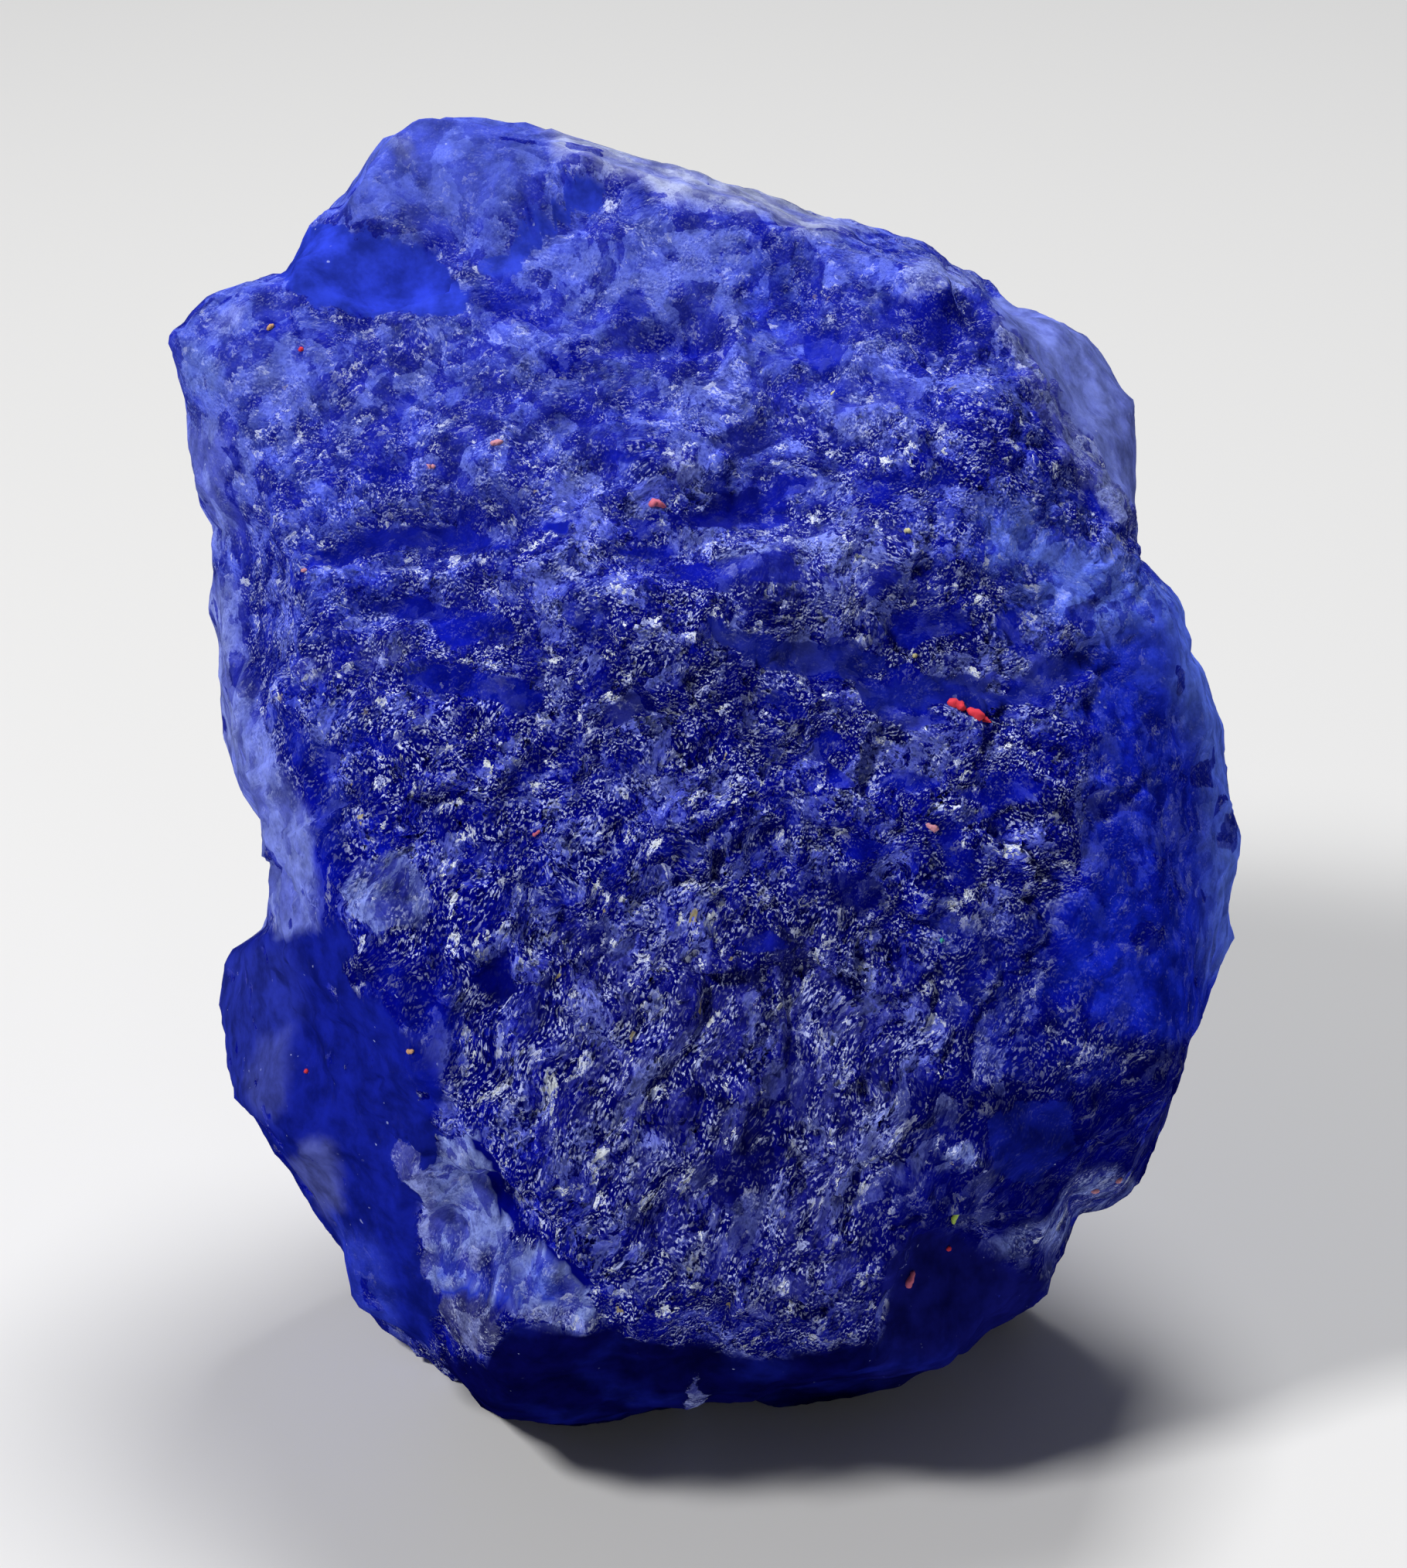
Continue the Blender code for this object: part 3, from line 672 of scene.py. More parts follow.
# Crisp patches, with jagged edges: hue, strength, calm, how far they stand out in mm, outline as seen.
patches = {
    "shoulderScoop": (
        "scoop", 0.97, 0.97, 0,
        (
            (-23.6, 28), (-22, 30.2), (-18.7, 30), (-15, 28.7), (-13, 26.3), (-13.2, 25.3), (-15, 25),
            (-19.3, 25.2), (-22.7, 26.2),
        ),
    ),
    "topNick": (
        "scoop", 0.95, 0.92, -0.2,
        (
            (-11, 29.6), (-9.8, 31), (-8.1, 32), (-7.3, 33), (-5.5, 32.7), (-4.7, 31.6), (-6.2, 30.5),
            (-7.9, 30), (-9.2, 29), (-10.6, 28.5),
        ),
    ),
    "nickBelow": (
        "scoop", 0.9, 0.9, -0.1,
        ((-12.8, 28.2), (-11.3, 28.9), (-9.9, 28.4), (-10.6, 27.3), (-12.3, 27.2)),
    ),
    "slashA": (
        "royal", 0.95, 0.7, -0.15,
        ((-9.2, 22.3), (-7.7, 23.3), (-5.7, 23.8), (-6.3, 22.7), (-8, 21.9)),
    ),
    "slashB": (
        "royal", 0.85, 0.7, -0.15,
        ((-4, 23.5), (-2.3, 24.6), (-0.2, 23.8), (-0.4, 22.2), (-2.3, 23.4), (-3.7, 23.0)),
    ),
    "slashC": ("royal", 0.8, 0.8, -0.1, ((-5, 25.5), (-4.3, 26.7), (-2.7, 26.4), (-3, 25.3))),
    "upperHollow": (
        "glow", 0.7, 0.6, -0.1,
        ((1.5, 27), (3.3, 28.7), (5.3, 28.2), (6.7, 27), (6.3, 24.7), (4, 23.7), (2, 24), (2.3, 25.7)),
    ),
    "hollowBelow": ("royal", 0.9, 0.8, -0.15, ((5.3, 24), (7, 24.7), (8.3, 23), (6.7, 22), (5.7, 22.3))),
    "edgeHollow": (
        "royal", 0.65, 0.7, -0.1,
        ((9.3, 25.7), (11, 26.7), (13.3, 26.3), (14.7, 24.7), (13.3, 23.7), (10.7, 24.7)),
    ),
    "edgeBelow": ("royal", 0.8, 0.6, -0.1, ((8.7, 21), (11.3, 21.7), (13.3, 20.3), (11, 19.7), (9, 20))),
    "middleTrough": (
        "navy", 0.95, 0.88, -0.2,
        ((-2.3, 14.2), (-0.3, 14.7), (2.3, 15.8), (3.7, 15.3), (3.3, 14), (0, 13.6)),
    ),
    "troughAbove": ("royal", 0.8, 0.75, -0.1, ((0, 16.7), (2, 16.6), (1, 15.3), (-0.3, 15.3))),
    "shelfA": ("navy", 0.75, 0.75, -0.1, ((0, 18.3), (3.3, 19.7), (4.3, 18.3), (1.7, 17))),
    "dot": ("royal", 0.95, 0.9, -0.1, ((-9, 13.8), (-7, 14.1), (-7.2, 13.1), (-9, 13.2))),
    "leftTrough": (
        "royal", 0.9, 0.84, -0.3,
        (
            (-21.3, 12.2), (-17.7, 13.7), (-13.7, 13.8), (-11, 12.8), (-12.3, 12.1), (-16, 12.6),
            (-19.7, 11.5), (-22, 11),
        ),
    ),
    "shelfB": ("royal", 0.9, 0.8, -0.1, ((-5, 12.3), (-2.3, 12.8), (-1.3, 12.2), (-3.7, 11.7))),
    "shelfC": (
        "royal", 0.9, 0.8, -0.3,
        (
            (-20.3, 8.4), (-18.5, 9.3), (-16, 9.8), (-12.4, 9.0), (-9.6, 8.4), (-11.7, 7.6), (-14.2, 6.9),
            (-15.3, 8.1), (-17.4, 8.7),
        ),
    ),
    "shelfD": (
        "royal", 0.9, 0.8, -0.3,
        ((-17.4, 5.2), (-14.9, 6.1), (-11, 5.6), (-8.5, 4.5), (-9.6, 3.3), (-13.1, 4.1), (-15.3, 4.7)),
    ),
    "poolLeft": (
        "navy", 0.9, 0.8, -0.1,
        ((-6.6, 2.4), (-5.3, 3.6), (-3.9, 4.4), (-2.4, 4.2), (-2.8, 3.3), (-4.6, 2.5)),
    ),
    "poolMiddle": (
        "deepBlue", 0.95, 0.82, -0.3,
        (
            (0.1, 8.7), (2.2, 8.1), (4.7, 7.5), (6.9, 7.5), (9.7, 6.8), (10.3, 5.6), (7.6, 5.1), (4.7, 5.4),
            (2.2, 6.4), (0.4, 7.2),
        ),
    ),
    "poolRight": (
        "royal", 0.85, 0.76, -0.1,
        ((10.1, 8.6), (11.9, 9.3), (15.1, 9.2), (15.3, 7.7), (12.6, 7.4), (11.1, 6.6), (10.1, 7.4)),
    ),
    "poolLong": (
        "deepBlue", 0.95, 0.84, -0.3,
        (
            (8.0, 4.9), (10.4, 5.3), (14.7, 5.3), (16.9, 4.4), (19, 6.3), (20.8, 6.8), (22.1, 6.3),
            (20.4, 5.0), (17.9, 3.6), (15.4, 3.2), (12.6, 3.6), (9, 3.4),
        ),
    ),
    "poolLow": ("navy", 0.9, 0.8, -0.1, ((6.9, -5.3), (9, -5.3), (10.3, -6.9), (8.6, -8.2), (6.9, -7.1))),
    "poolLowAbove": ("royal", 0.8, 0.75, -0.1, ((7.6, -3.4), (10.4, -3.7), (10.1, -5.0), (7.9, -4.7))),
    "poolSmall": ("royal", 0.85, 0.8, -0.1, ((1.1, -9.9), (3.3, -8.6), (5.2, -9.4), (3.3, -10.2))),
    "darkFacet": ("navy", 0.92, 0.9, -0.1, ((-12.9, -11.2), (-11, -10.0), (-9.8, -11.8), (-11.4, -12.8))),
    "lowRightPool": (
        "deepBlue", 0.85, 0.86, -0.1,
        ((15.5, -21), (15.5, -19), (17.2, -18.0), (20.3, -17.9), (20.4, -21), (18.6, -22.8), (16.8, -22.6)),
    ),
    "plate": (
        "slate", 0.75, 0.5, 0.2,
        (
            (-19.9, -6.2), (-18.7, -4.7), (-16.7, -4.7), (-15.6, -5.5), (-14.8, -7.3), (-15.6, -8.6),
            (-17.8, -8.8), (-19.6, -7.6),
        ),
    ),
    "ledgeEnd": ("frost", 0.5, 0.6, 0.1, ((11, 28.2), (13.3, 28.4), (15.6, 26.8), (14, 26.3), (11.3, 27))),
    "rightLobe": (
        "pale", 0.9, 0.85, 0,
        (
            (15.5, 26.3), (18.3, 26), (20.6, 25.6), (22, 24.6), (24.5, 20), (25, 17), (24.6, 12.6),
            (22.3, 15.3), (20.6, 17.8), (18.6, 21.1), (16.6, 23.6),
        ),
    ),
    "lobeStripe": (
        "frost", 0.75, 0.55, 0.25,
        (
            (15.3, 25.7), (17.7, 23.9), (19.4, 21.1), (21.1, 18.4), (23.1, 15.4), (24.3, 12.8),
            (22.2, 14.1), (20.1, 16.6), (18.8, 19), (17.1, 21.7),
        ),
    ),
    "lightChip": (
        "slate", 1.0, 0.68, 0,
        (
            (-14.9, -21.8), (-14.4, -20), (-12.7, -19.7), (-12.1, -21.2), (-11.6, -22.8), (-10.8, -24.6),
            (-10.6, -26.1), (-9.1, -26.3), (-7.8, -27), (-6.5, -28.1), (-6, -29.1), (-5.8, -30.3),
            (-7.6, -30.3), (-9.6, -29.9), (-11.6, -29.3), (-13.7, -28.7), (-14.8, -28.3), (-15, -27.5),
        ),
    ),
    "chipFloor": (
        "bright", 0.9, 0.68, 0.1,
        (
            (-14.8, -25.7), (-13.5, -25.9), (-12.2, -25.1), (-10.9, -26.0), (-9.2, -26.5), (-7.7, -27.6),
            (-7.2, -28.9), (-9.6, -29.3), (-12.2, -28.6), (-14.9, -27.9),
        ),
    ),
    "chipMilk": (
        "frost", 0.6, 0.65, 0.1,
        ((-13.6, -25.9), (-12.0, -25.3), (-11.1, -26.3), (-11.7, -27.8), (-13.4, -27.6)),
    ),
    "chipBlue": (
        "scoop", 0.95, 0.9, -0.1,
        (
            (-14.8, -28.4), (-12.4, -28.3), (-9.8, -28.8), (-7.9, -28.5), (-7.6, -29.3), (-9.9, -29.6),
            (-12.4, -29.2),
        ),
    ),
    "chipThread": (
        "royal", 0.9, 0.9, -0.2,
        (
            (-15, -24.9), (-13.9, -25.4), (-13.1, -24.3), (-12.2, -23.7), (-12.4, -24.6), (-13.2, -25.6),
            (-14.2, -26.1),
        ),
    ),
    "chipGroove": (
        "navy", 0.95, 0.93, -0.3,
        (
            (-12.6, -19.5), (-11.4, -21.9), (-10.4, -24.2), (-9.2, -25.7), (-10.2, -25.7), (-11.2, -24.4),
            (-12.3, -21.4),
        ),
    ),
    "chipGrooveLow": (
        "navy", 0.95, 0.93, -0.3,
        ((-9.3, -25.7), (-7.4, -26.5), (-5.8, -28.3), (-6.3, -28.4), (-7.7, -27.1), (-9.2, -26.4)),
    ),
    "chipFoot": (
        "frost", 0.55, 0.4, 0.15,
        ((-10.4, -29.5), (-7.6, -29.2), (-5.7, -29.7), (-5.6, -30.5), (-7.8, -30.5), (-10.2, -30.1)),
    ),
    "shard": (
        "frost", 0.85, 0.6, 0.35,
        (
            (-16.9, -20.1), (-16.3, -20.5), (-15.5, -20.7), (-15.3, -22.7), (-15.8, -22.9), (-17, -21.9),
            (-17.2, -21.3),
        ),
    ),
    "sliver": (
        "frost", 0.8, 0.6, 0.25,
        (
            (-15.5, -21.9), (-14.9, -21.8), (-14.7, -23.3), (-14.6, -24.9), (-14.8, -26.1), (-15, -27.6),
            (-15.5, -27.6), (-15.4, -25.9), (-15.8, -24.9), (-15.6, -23.9),
        ),
    ),
    "greyFacet": (
        "grey", 1.0, 0.55, 0.3,
        (
            (-14.8, -28.7), (-13.7, -28.8), (-12.1, -29.1), (-11.3, -29.7), (-11.1, -31.2), (-11.6, -31.9),
            (-12.7, -31.9), (-13.8, -31), (-14.9, -29.6),
        ),
    ),
    "lowBlotch": (
        "slate", 0.7, 0.3, 0.1,
        ((13.2, -20.2), (14.6, -19.9), (15.2, -21.4), (14.2, -22.2), (13.3, -21.5)),
    ),
    "bottomChip": ("frost", 0.7, 0.5, 0.2, ((-1.3, -34.4), (-0.4, -33), (0.2, -34.1), (-0.6, -35.4))),
    "smallPlate": ("frost", 0.6, 0.5, 0.2, ((2.1, -28.8), (3.7, -29.1), (3.6, -29.9), (2.6, -29.7))),
}

# Small soft touches on top of all that: hue, strength, centre (u, v), half length, half width, turn.
touches = {
    "chipBright": ("frost", 0.6, (-13.6, -21.0), 0.7, 0.5, 0),
    "chipSlateB": ("slate", 0.7, (-10.3, -27.2), 0.9, 0.8, 10),
    "chipCrack": ("navy", 0.85, (-11.6, -27.4), 1.2, 0.24, 106),
    "chipCrackTop": ("navy", 0.6, (-12.6, -24.7), 1.0, 0.24, 30),
    "chipGlow": ("glow", 0.8, (-9.0, -27.0), 0.6, 0.4, 0),
    "chipBlueRight": ("royal", 0.6, (-8.0, -28.0), 0.6, 0.4, -40),
    "cornerBlue": ("sky", 0.7, (-27.6, 22.2), 1.6, 1.0, -60),
    "cornerCloud": ("frost", 0.5, (-26.2, 25.2), 1.1, 0.5, 20),
    # painted glint
    "topGlint": ("frost", 0.6, (-16.7, 34.6), 0.7, 0.5, 60),
    "lobeCloud": ("frost", 0.45, (-16.6, 29.6), 0.9, 0.3, 10),
    # painted glints
    "sparkleA": ("frost", 0.5, (-1.2, 16.6), 0.9, 0.9, 60),
    "sparkleB": ("frost", 0.35, (-17.6, 6.6), 1.4, 0.9, 20),
    "sparkleC": ("frost", 0.35, (-21.2, 5.8), 1.0, 0.7, 20),
    "sparkleD": ("frost", 0.3, (9.6, -19.6), 0.9, 1.8, 0),
    "sparkleE": ("frost", 0.3, (4.6, -28.2), 1.4, 1.0, 0),
}

# Random pools between the patches: hue, strength, calm, how far they stand out, and the noise at which
# they begin and are full.
pools = {
    "wide": ("royal", 0.85, 0.75, -0.1, 0.36, 0.78),
    "sliver": ("navy", 0.7, 0.6, -0.1, 0.42, 0.78),
}
# The noises behind the pools: how each is stretched, and its size.
poolNoises = {"wide": ((0.5, 1, 1), 1.7), "wideFine": ((0.6, 1, 1), 0.9), "sliver": ((1, 0.45, 1), 2.2)}
wideFineShare = 0.6

# Parts of the face: centre (u, v), half length, half width, turn, softness.
faceParts = {
    "ledgy": ((-2, 12), 24, 13, 0, 0.5),
    "flaky": ((0, -17), 18, 13, 0, 0.45),
    "slivers": ((0, -17), 20, 14, 0, 0.4),
}

# How borders stray, as (distance, length), and where the front's colours give way to the sides'.
borders = {
    "groundStray": ((0.9, 3.6), (0.45, 1.3)),
    "outlineStray": ((0.30, 1.6), (0.18, 0.7)),
    "sideStray": ((5.0, 7.0), (2.0, 3.0)),
    "sidesFrom": (-0.05, 0.3),  # how far backwards a way leans where the sides' straying begins and is full
    "frontFades": (-0.45, -0.12),
    "fadeStray": (0.25, 6.0),
    "patchSoft": 0.55,
    "stripSoft": 0.6,
    "win": 0.9,  # how much of the strongest patch's share a later one needs to lie over it
}


# 1 inside an outline, 0 outside: the distance to its nearest edge, signed by the crossings to the right.
def outlineMask(seen, corners, soft):
    nearest = np.full(len(seen), 99.0)
    inside = np.zeros(len(seen), bool)
    corners = np.array(corners)
    for start, end in zip(corners, np.roll(corners, -1, axis=0)):
        along = end - start
        share = np.clip((seen - start) @ along / (along @ along), 0, 1)
        nearest = np.minimum(nearest, np.linalg.norm(seen - start - share[:, None] * along, axis=1))
        spans = (start[1] > seen[:, 1]) != (end[1] > seen[:, 1])
        rise = along[1] if along[1] else 1e-9
        inside ^= spans & (seen[:, 0] < start[0] + (seen[:, 1] - start[1]) * along[0] / rise)
    return smoothStep(np.where(inside, nearest, -nearest), -soft, soft)


# The ground's colour and calm at each point, laid coat by coat.
class Ground:
    def __init__(self, count):
        self.colour = np.tile(np.array(hues["body"]), (count, 1))
        self.calm = np.full(count, bareCalm)

    def cover(self, hue, share, calm):
        self.colour = self.colour + (np.array(hues[hue]) - self.colour) * share[:, None]
        self.calm = self.calm + (calm - self.calm) * share

    # A coat comes in as its measure goes from where it begins to where it is full.
    def coat(self, name, measure, where):
        hue, strength, calm, begins, full = coats[name]
        self.cover(hue, strength * smoothStep(measure, begins, full) * where, calm)


# Where the colours of each point are read: on the ground, as seen from the front, and how much it is front.
def readingPlaces(points, ways):
    # past the outline, out of sight from the front, everything wanders further and fades unevenly
    behind = smoothStep(-ways[:, 2], *borders["sidesFrom"])[:, None]
    further = (strayed(points, borders["sideStray"], seeds["sides"]) - points) * behind
    wandered = strayed(points, borders["groundStray"], seeds["ground"]) + further
    nearer = seenFromFront(strayed(points, borders["outlineStray"], seeds["outlines"]) + further)
    swing, length = borders["fadeStray"]
    uneven = swing * smoothNoise(points, length, seeds["frontFade"])
    return wandered, nearer, smoothStep(ways[:, 2] + uneven, *borders["frontFades"])


# The ground, from the widest coats to the outlined swathes. Also how much of each point is undercut.
def layGround(points, wandered, nearer, front):
    ground = Ground(len(points))
    u, v = seenFromFront(wandered).T
    # painted light and shade: the upper third, which faces up, is painted paler and is calmer, mostly at
    # the left, and the middle band, which faces the front, is painted darker
    ground.coat("paleTop", v - coatShapes["topSlant"] * u, front)
    fromBand = (v - coatShapes["bandSlant"] * u - coatShapes["bandHeight"]) / coatShapes["bandHalf"]
    ground.coat("darkBand", u, np.exp(-(fromBand**2)) * front)
    # painted light: thin edges are painted paler, as light coming through them
    edges = smoothStep(v, *coatShapes["edgesUp"]) * front
    ground.coat("thinEdges", np.hypot(u, v) / rimRadius(u, v), edges)
    # sides and back: broad pale and dark swathes
    swathe = doubleNoise(wandered, *coatShapes["swathes"], seeds["swathe"])
    ground.coat("paleSides", swathe, 1 - front)
    ground.coat("darkSides", -swathe, 1 - front)
    cloud = doubleNoise(wandered, *coatShapes["clouds"], seeds["cloud"])
    upper = smoothStep(v, *coatShapes["cloudsUp"]) * front
    ground.coat("paleClouds", cloud, upper)
    ground.coat("darkClouds", -cloud, upper)
    # the smooth dark bevel at the lower left
    lineU, lineV = np.array(ridgeLine).T
    bevel = smoothStep(-v, *coatShapes["bevelDown"]) * front
    ground.coat("bevel", np.interp(-v, -lineV, lineU) - u, bevel)
    for hue, strength, calm, soft, corners in swathes.values():
        ground.cover(hue, strength * outlineMask(nearer, corners, soft) * front, calm)
    # the undercut is mottled, and the strip along the top edge is streaked along its length
    under = outlineMask(nearer, swathes["undercut"][4], borders["stripSoft"]) * front
    ground.coat("undercutMottle", cloud, under)
    acrossU, acrossV = coatShapes["streakWay"]
    streak = points * (coatShapes["streakStretch"], 0, 1)
    streak[:, 1] = points[:, 1] * acrossV + points[:, 0] * acrossU
    streaks = doubleNoise(streak, *coatShapes["streaks"], seeds["streaks"])
    strip = outlineMask(nearer, swathes["topLedge"][4], borders["stripSoft"]) * front
    ground.coat("ledgeStreaks", streaks, strip)
    return ground, under


# The share of each point that random pools cover: drawn out sideways above, and upright below.
def poolShares(wandered, front, under):
    stretch, size = poolNoises["wide"]
    wide = smoothNoise(wandered * stretch, size, seeds["pools"])
    stretch, size = poolNoises["wideFine"]
    wide = wide + wideFineShare * smoothNoise(wandered * stretch, size, seeds["pools"] + 1)
    stretch, size = poolNoises["sliver"]
    sliver = smoothNoise(wandered @ leaning.T * stretch, size, seeds["slivers"])
    upright = patchMask(seenFromFront(wandered), *faceParts["slivers"])
    return {
        "wide": smoothStep(wide, *pools["wide"][4:]) * (1 - upright * front) * (1 - under),
        "sliver": smoothStep(sliver, *pools["sliver"][4:]) * front * upright,
    }


# Per point: the ground colour and how calm it is, the same of the patch nearby, how far inside that patch
# the point is (0.5 = on its edge), how far the patch stands out, and how ledgy and how flaky the point is.
def readZones(points, ways):
    wandered, nearer, front = readingPlaces(points, ways)
    ground, under = layGround(points, wandered, nearer, front)
    shares = poolShares(wandered, front, under)
    laid = [pools[name][:4] + (shares[name],) for name in pools]
    for hue, strength, calm, lift, corners in patches.values():
        laid.append((hue, strength, calm, lift, outlineMask(nearer, corners, borders["patchSoft"]) * front))
    inside, best, raised = np.zeros(len(points)), np.zeros(len(points)), np.zeros(len(points))
    patchColour, patchCalm = ground.colour.copy(), ground.calm.copy()
    for hue, strength, calm, lift, share in laid:
        wins = share > best * borders["win"]
        tinted = ground.colour + (np.array(hues[hue]) - ground.colour) * strength
        patchColour = np.where(wins[:, None], tinted, patchColour)
        patchCalm = np.where(wins, calm, patchCalm)
        best = np.where(wins, share, best)
        inside = 1 - (1 - inside) * (1 - share)
        raised += lift * share
    colour = ground.colour
    for hue, strength, centre, halfLength, halfWidth, turn in touches.values():
        share = strength * patchMask(nearer, centre, halfLength, halfWidth, turn) * front
        colour = colour + (np.array(hues[hue]) - colour) * share[:, None]
        patchColour = patchColour + (np.array(hues[hue]) - patchColour) * share[:, None]
    seen = seenFromFront(wandered)
    return {
        "ownColour": colour,
        "calm": ground.calm,
        "patchColour": patchColour,
        "patchCalm": patchCalm,
        "inside": inside,
        "raised": raised,
        "ledgy": patchMask(seen, *faceParts["ledgy"]) * front,
        "flaky": patchMask(seen, *faceParts["flaky"]) * front,
    }


# Broken crystals: each random cell has its own slope and its own tone, so its border is a small step.
def crystalFacets(points, size, seed):
    scaled = points / size
    home = np.floor(scaled).astype(int)
    nearest = np.full(len(points), 9.0)
    slope = np.zeros((len(points), 3))
    reach = np.zeros((len(points), 3))
    for offset in np.ndindex(3, 3, 3):
        cell = home + np.array(offset) - 1
        away = scaled - cell - latticeRandom(cell, seed)
        gap = (away**2).sum(axis=1)
        closer = gap < nearest
        nearest = np.where(closer, gap, nearest)
        slope = np.where(closer[:, None], latticeRandom(cell, seed + 101) - 0.5, slope)
        reach = np.where(closer[:, None], away, reach)
    return (slope * reach).sum(axis=1) * size, slope[:, 0] + slope[:, 1]


# Ledges = a tooth up v that climbs slowly and drops at once, bent by noise and broken up along u.
def ledges(points):
    (swing, length), (smallSwing, smallLength) = relief["ledgeWaves"]
    warp = swing * smoothNoise(points * (0.6, 1, 1), length, seeds["ledges"])
    warp = warp + smallSwing * smoothNoise(points, smallLength, seeds["ledges"] + 1)
    tooth = (points[:, 1] + warp) / relief["ledgePitch"] % 1
    gaps = smoothNoise(points * (0.55, 1.3, 1), relief["ledgeLength"], seeds["ledges"] + 2)
    profile = np.minimum(tooth, (1 - tooth) * relief["ledgeDrop"]) - relief["ledgeMiddle"]
    return relief["ledgeRise"] * profile * smoothStep(gaps, *relief["ledgeGaps"])


# Flakes = creased noise, middle - |noise|, stretched along a way that leans right.
def flakes(points):
    across, along, deep = (points @ leaning.T).T
    grid = [across / relief["flakeAcross"], along / relief["flakeAlong"], deep / relief["flakeDeep"]]
    grid = strayed(np.stack(grid, axis=1), relief["flakeBend"], seeds["flakeTwist"])
    creased = relief["flakeMiddle"] - np.abs(smoothNoise(grid, 1.0, seeds["flakes"]))
    return relief["flakeRise"] * creased


# Relief = tilted crystal facets + grit + ledges + flakes, less in calm places. Also each facet's tone.
def fineRelief(points, zone):
    inPatch = smoothStep(zone["inside"], *relief["patchTakes"])
    calm = zone["calm"] + (zone["patchCalm"] - zone["calm"]) * inPatch
    bent = strayed(points, relief["twist"], seeds["reliefTwist"])
    height = np.zeros(len(points))
    tone = np.zeros(len(points))
    for number, (size, rise, share) in enumerate(relief["crystals"]):
        lift, own = crystalFacets(bent * relief["crystalSquash"], size, seeds["crystals"] + number)
        height += rise * lift
        tone += share * own
    size, rise = relief["grit"]
    height += rise * smoothNoise(points, size, seeds["grit"])
    height += ledges(points) * zone["ledgy"]
    height += flakes(points) * zone["flaky"]
    return height * (1 - (1 - relief["calmLeft"]) * calm), tone


# Normals at the points: the squares' own crossed diagonals, summed where they meet.
def pointNormals(points, squares):
    a, b, c, d = (points[squares[:, corner]] for corner in range(4))
    faceNormal = np.cross(c - a, d - b)
    normals = np.zeros_like(points)
    for corner in range(4):
        for axis in range(3):
            normals[:, axis] += np.bincount(squares[:, corner], faceNormal[:, axis], len(points))
    return normals / np.linalg.norm(normals, axis=1, keepdims=True)


# Each square is cut along the diagonal whose ends face more alike, so that ridges run clean.
def cutSquares(points, squares):
    normals = pointNormals(points, squares)
    alike = [(normals[squares[:, k]] * normals[squares[:, k + 2]]).sum(axis=1) for k in (0, 1)]
    turned = np.where((alike[0] >= alike[1])[:, None], squares, np.roll(squares, -1, axis=1))
    return np.concatenate([turned[:, [0, 1, 2]], turned[:, [0, 2, 3]]])


# Grain place = the point in mm, turned so that y runs along the flakes, and squeezed along y about the
# flaky part's middle: y' = y - squeeze * reach * tanh(y / reach), which draws the grains out there.
def grainPlace(points):
    away = strayed(points, relief["grainBend"], seeds["grains"]) - relief["flakeCentre"]
    across, along, deep = (away @ leaning.T).T
    reach = relief["flakeReach"]
    along = along - relief["flakeSqueeze"] * reach * np.tanh(along / reach)
    return np.stack([across, along, deep], axis=1) + relief["grainOffset"]


def addAttribute(mesh, name, values):
    kind, field = ("FLOAT_VECTOR", "vector") if values.ndim == 2 else ("FLOAT", "value")
    mesh.attributes.new(name, kind, "POINT").data.foreach_set(field, values.ravel().astype(np.float32))


def buildMesh(name, points, triangles):
    mesh = bpy.data.meshes.new(name)
    mesh.from_pydata(points.tolist(), [], triangles.tolist())
    mesh.polygons.foreach_set("use_smooth", np.ones(len(triangles), bool))
    mesh.update()
    piece = bpy.data.objects.new(name, mesh)
    bpy.context.scene.collection.objects.link(piece)
    return piece


# The stone as it is seen: the main surface, its zones, and the fine relief and raised patches on it.
def dressedSurface(ways):
    points = brokenSurface(ways)
    zone = readZones(points, ways)
    rise, tone = fineRelief(points, zone)
    facesFront = smoothStep(ways[:, 2], *relief["frontTakes"])
    rise = rise * (relief["sidesLeft"] + (1 - relief["sidesLeft"]) * facesFront)
    zone["sheen"] = np.clip(sheen["middle"] + sheen["tone"] * tone + sheen["height"] * rise, 0, 1)
    return points + ways * (rise + zone["raised"])[:, None], zone


def makeStone():
    cube, squares = cubeLattice(stone["squares"])
    points, zone = dressedSurface(waysFrom(cube))
    upright = standUp(points) - shift
    piece = buildMesh("roughStone", upright * mm, cutSquares(upright, squares))
    for name in ("ownColour", "calm", "patchColour", "patchCalm", "inside", "sheen"):
        addAttribute(piece.data, name, zone[name])
    addAttribute(piece.data, "grainPlace", grainPlace(points))
    print("stone made:", len(piece.data.polygons), "triangles")
    return piece


roughStone = makeStone()


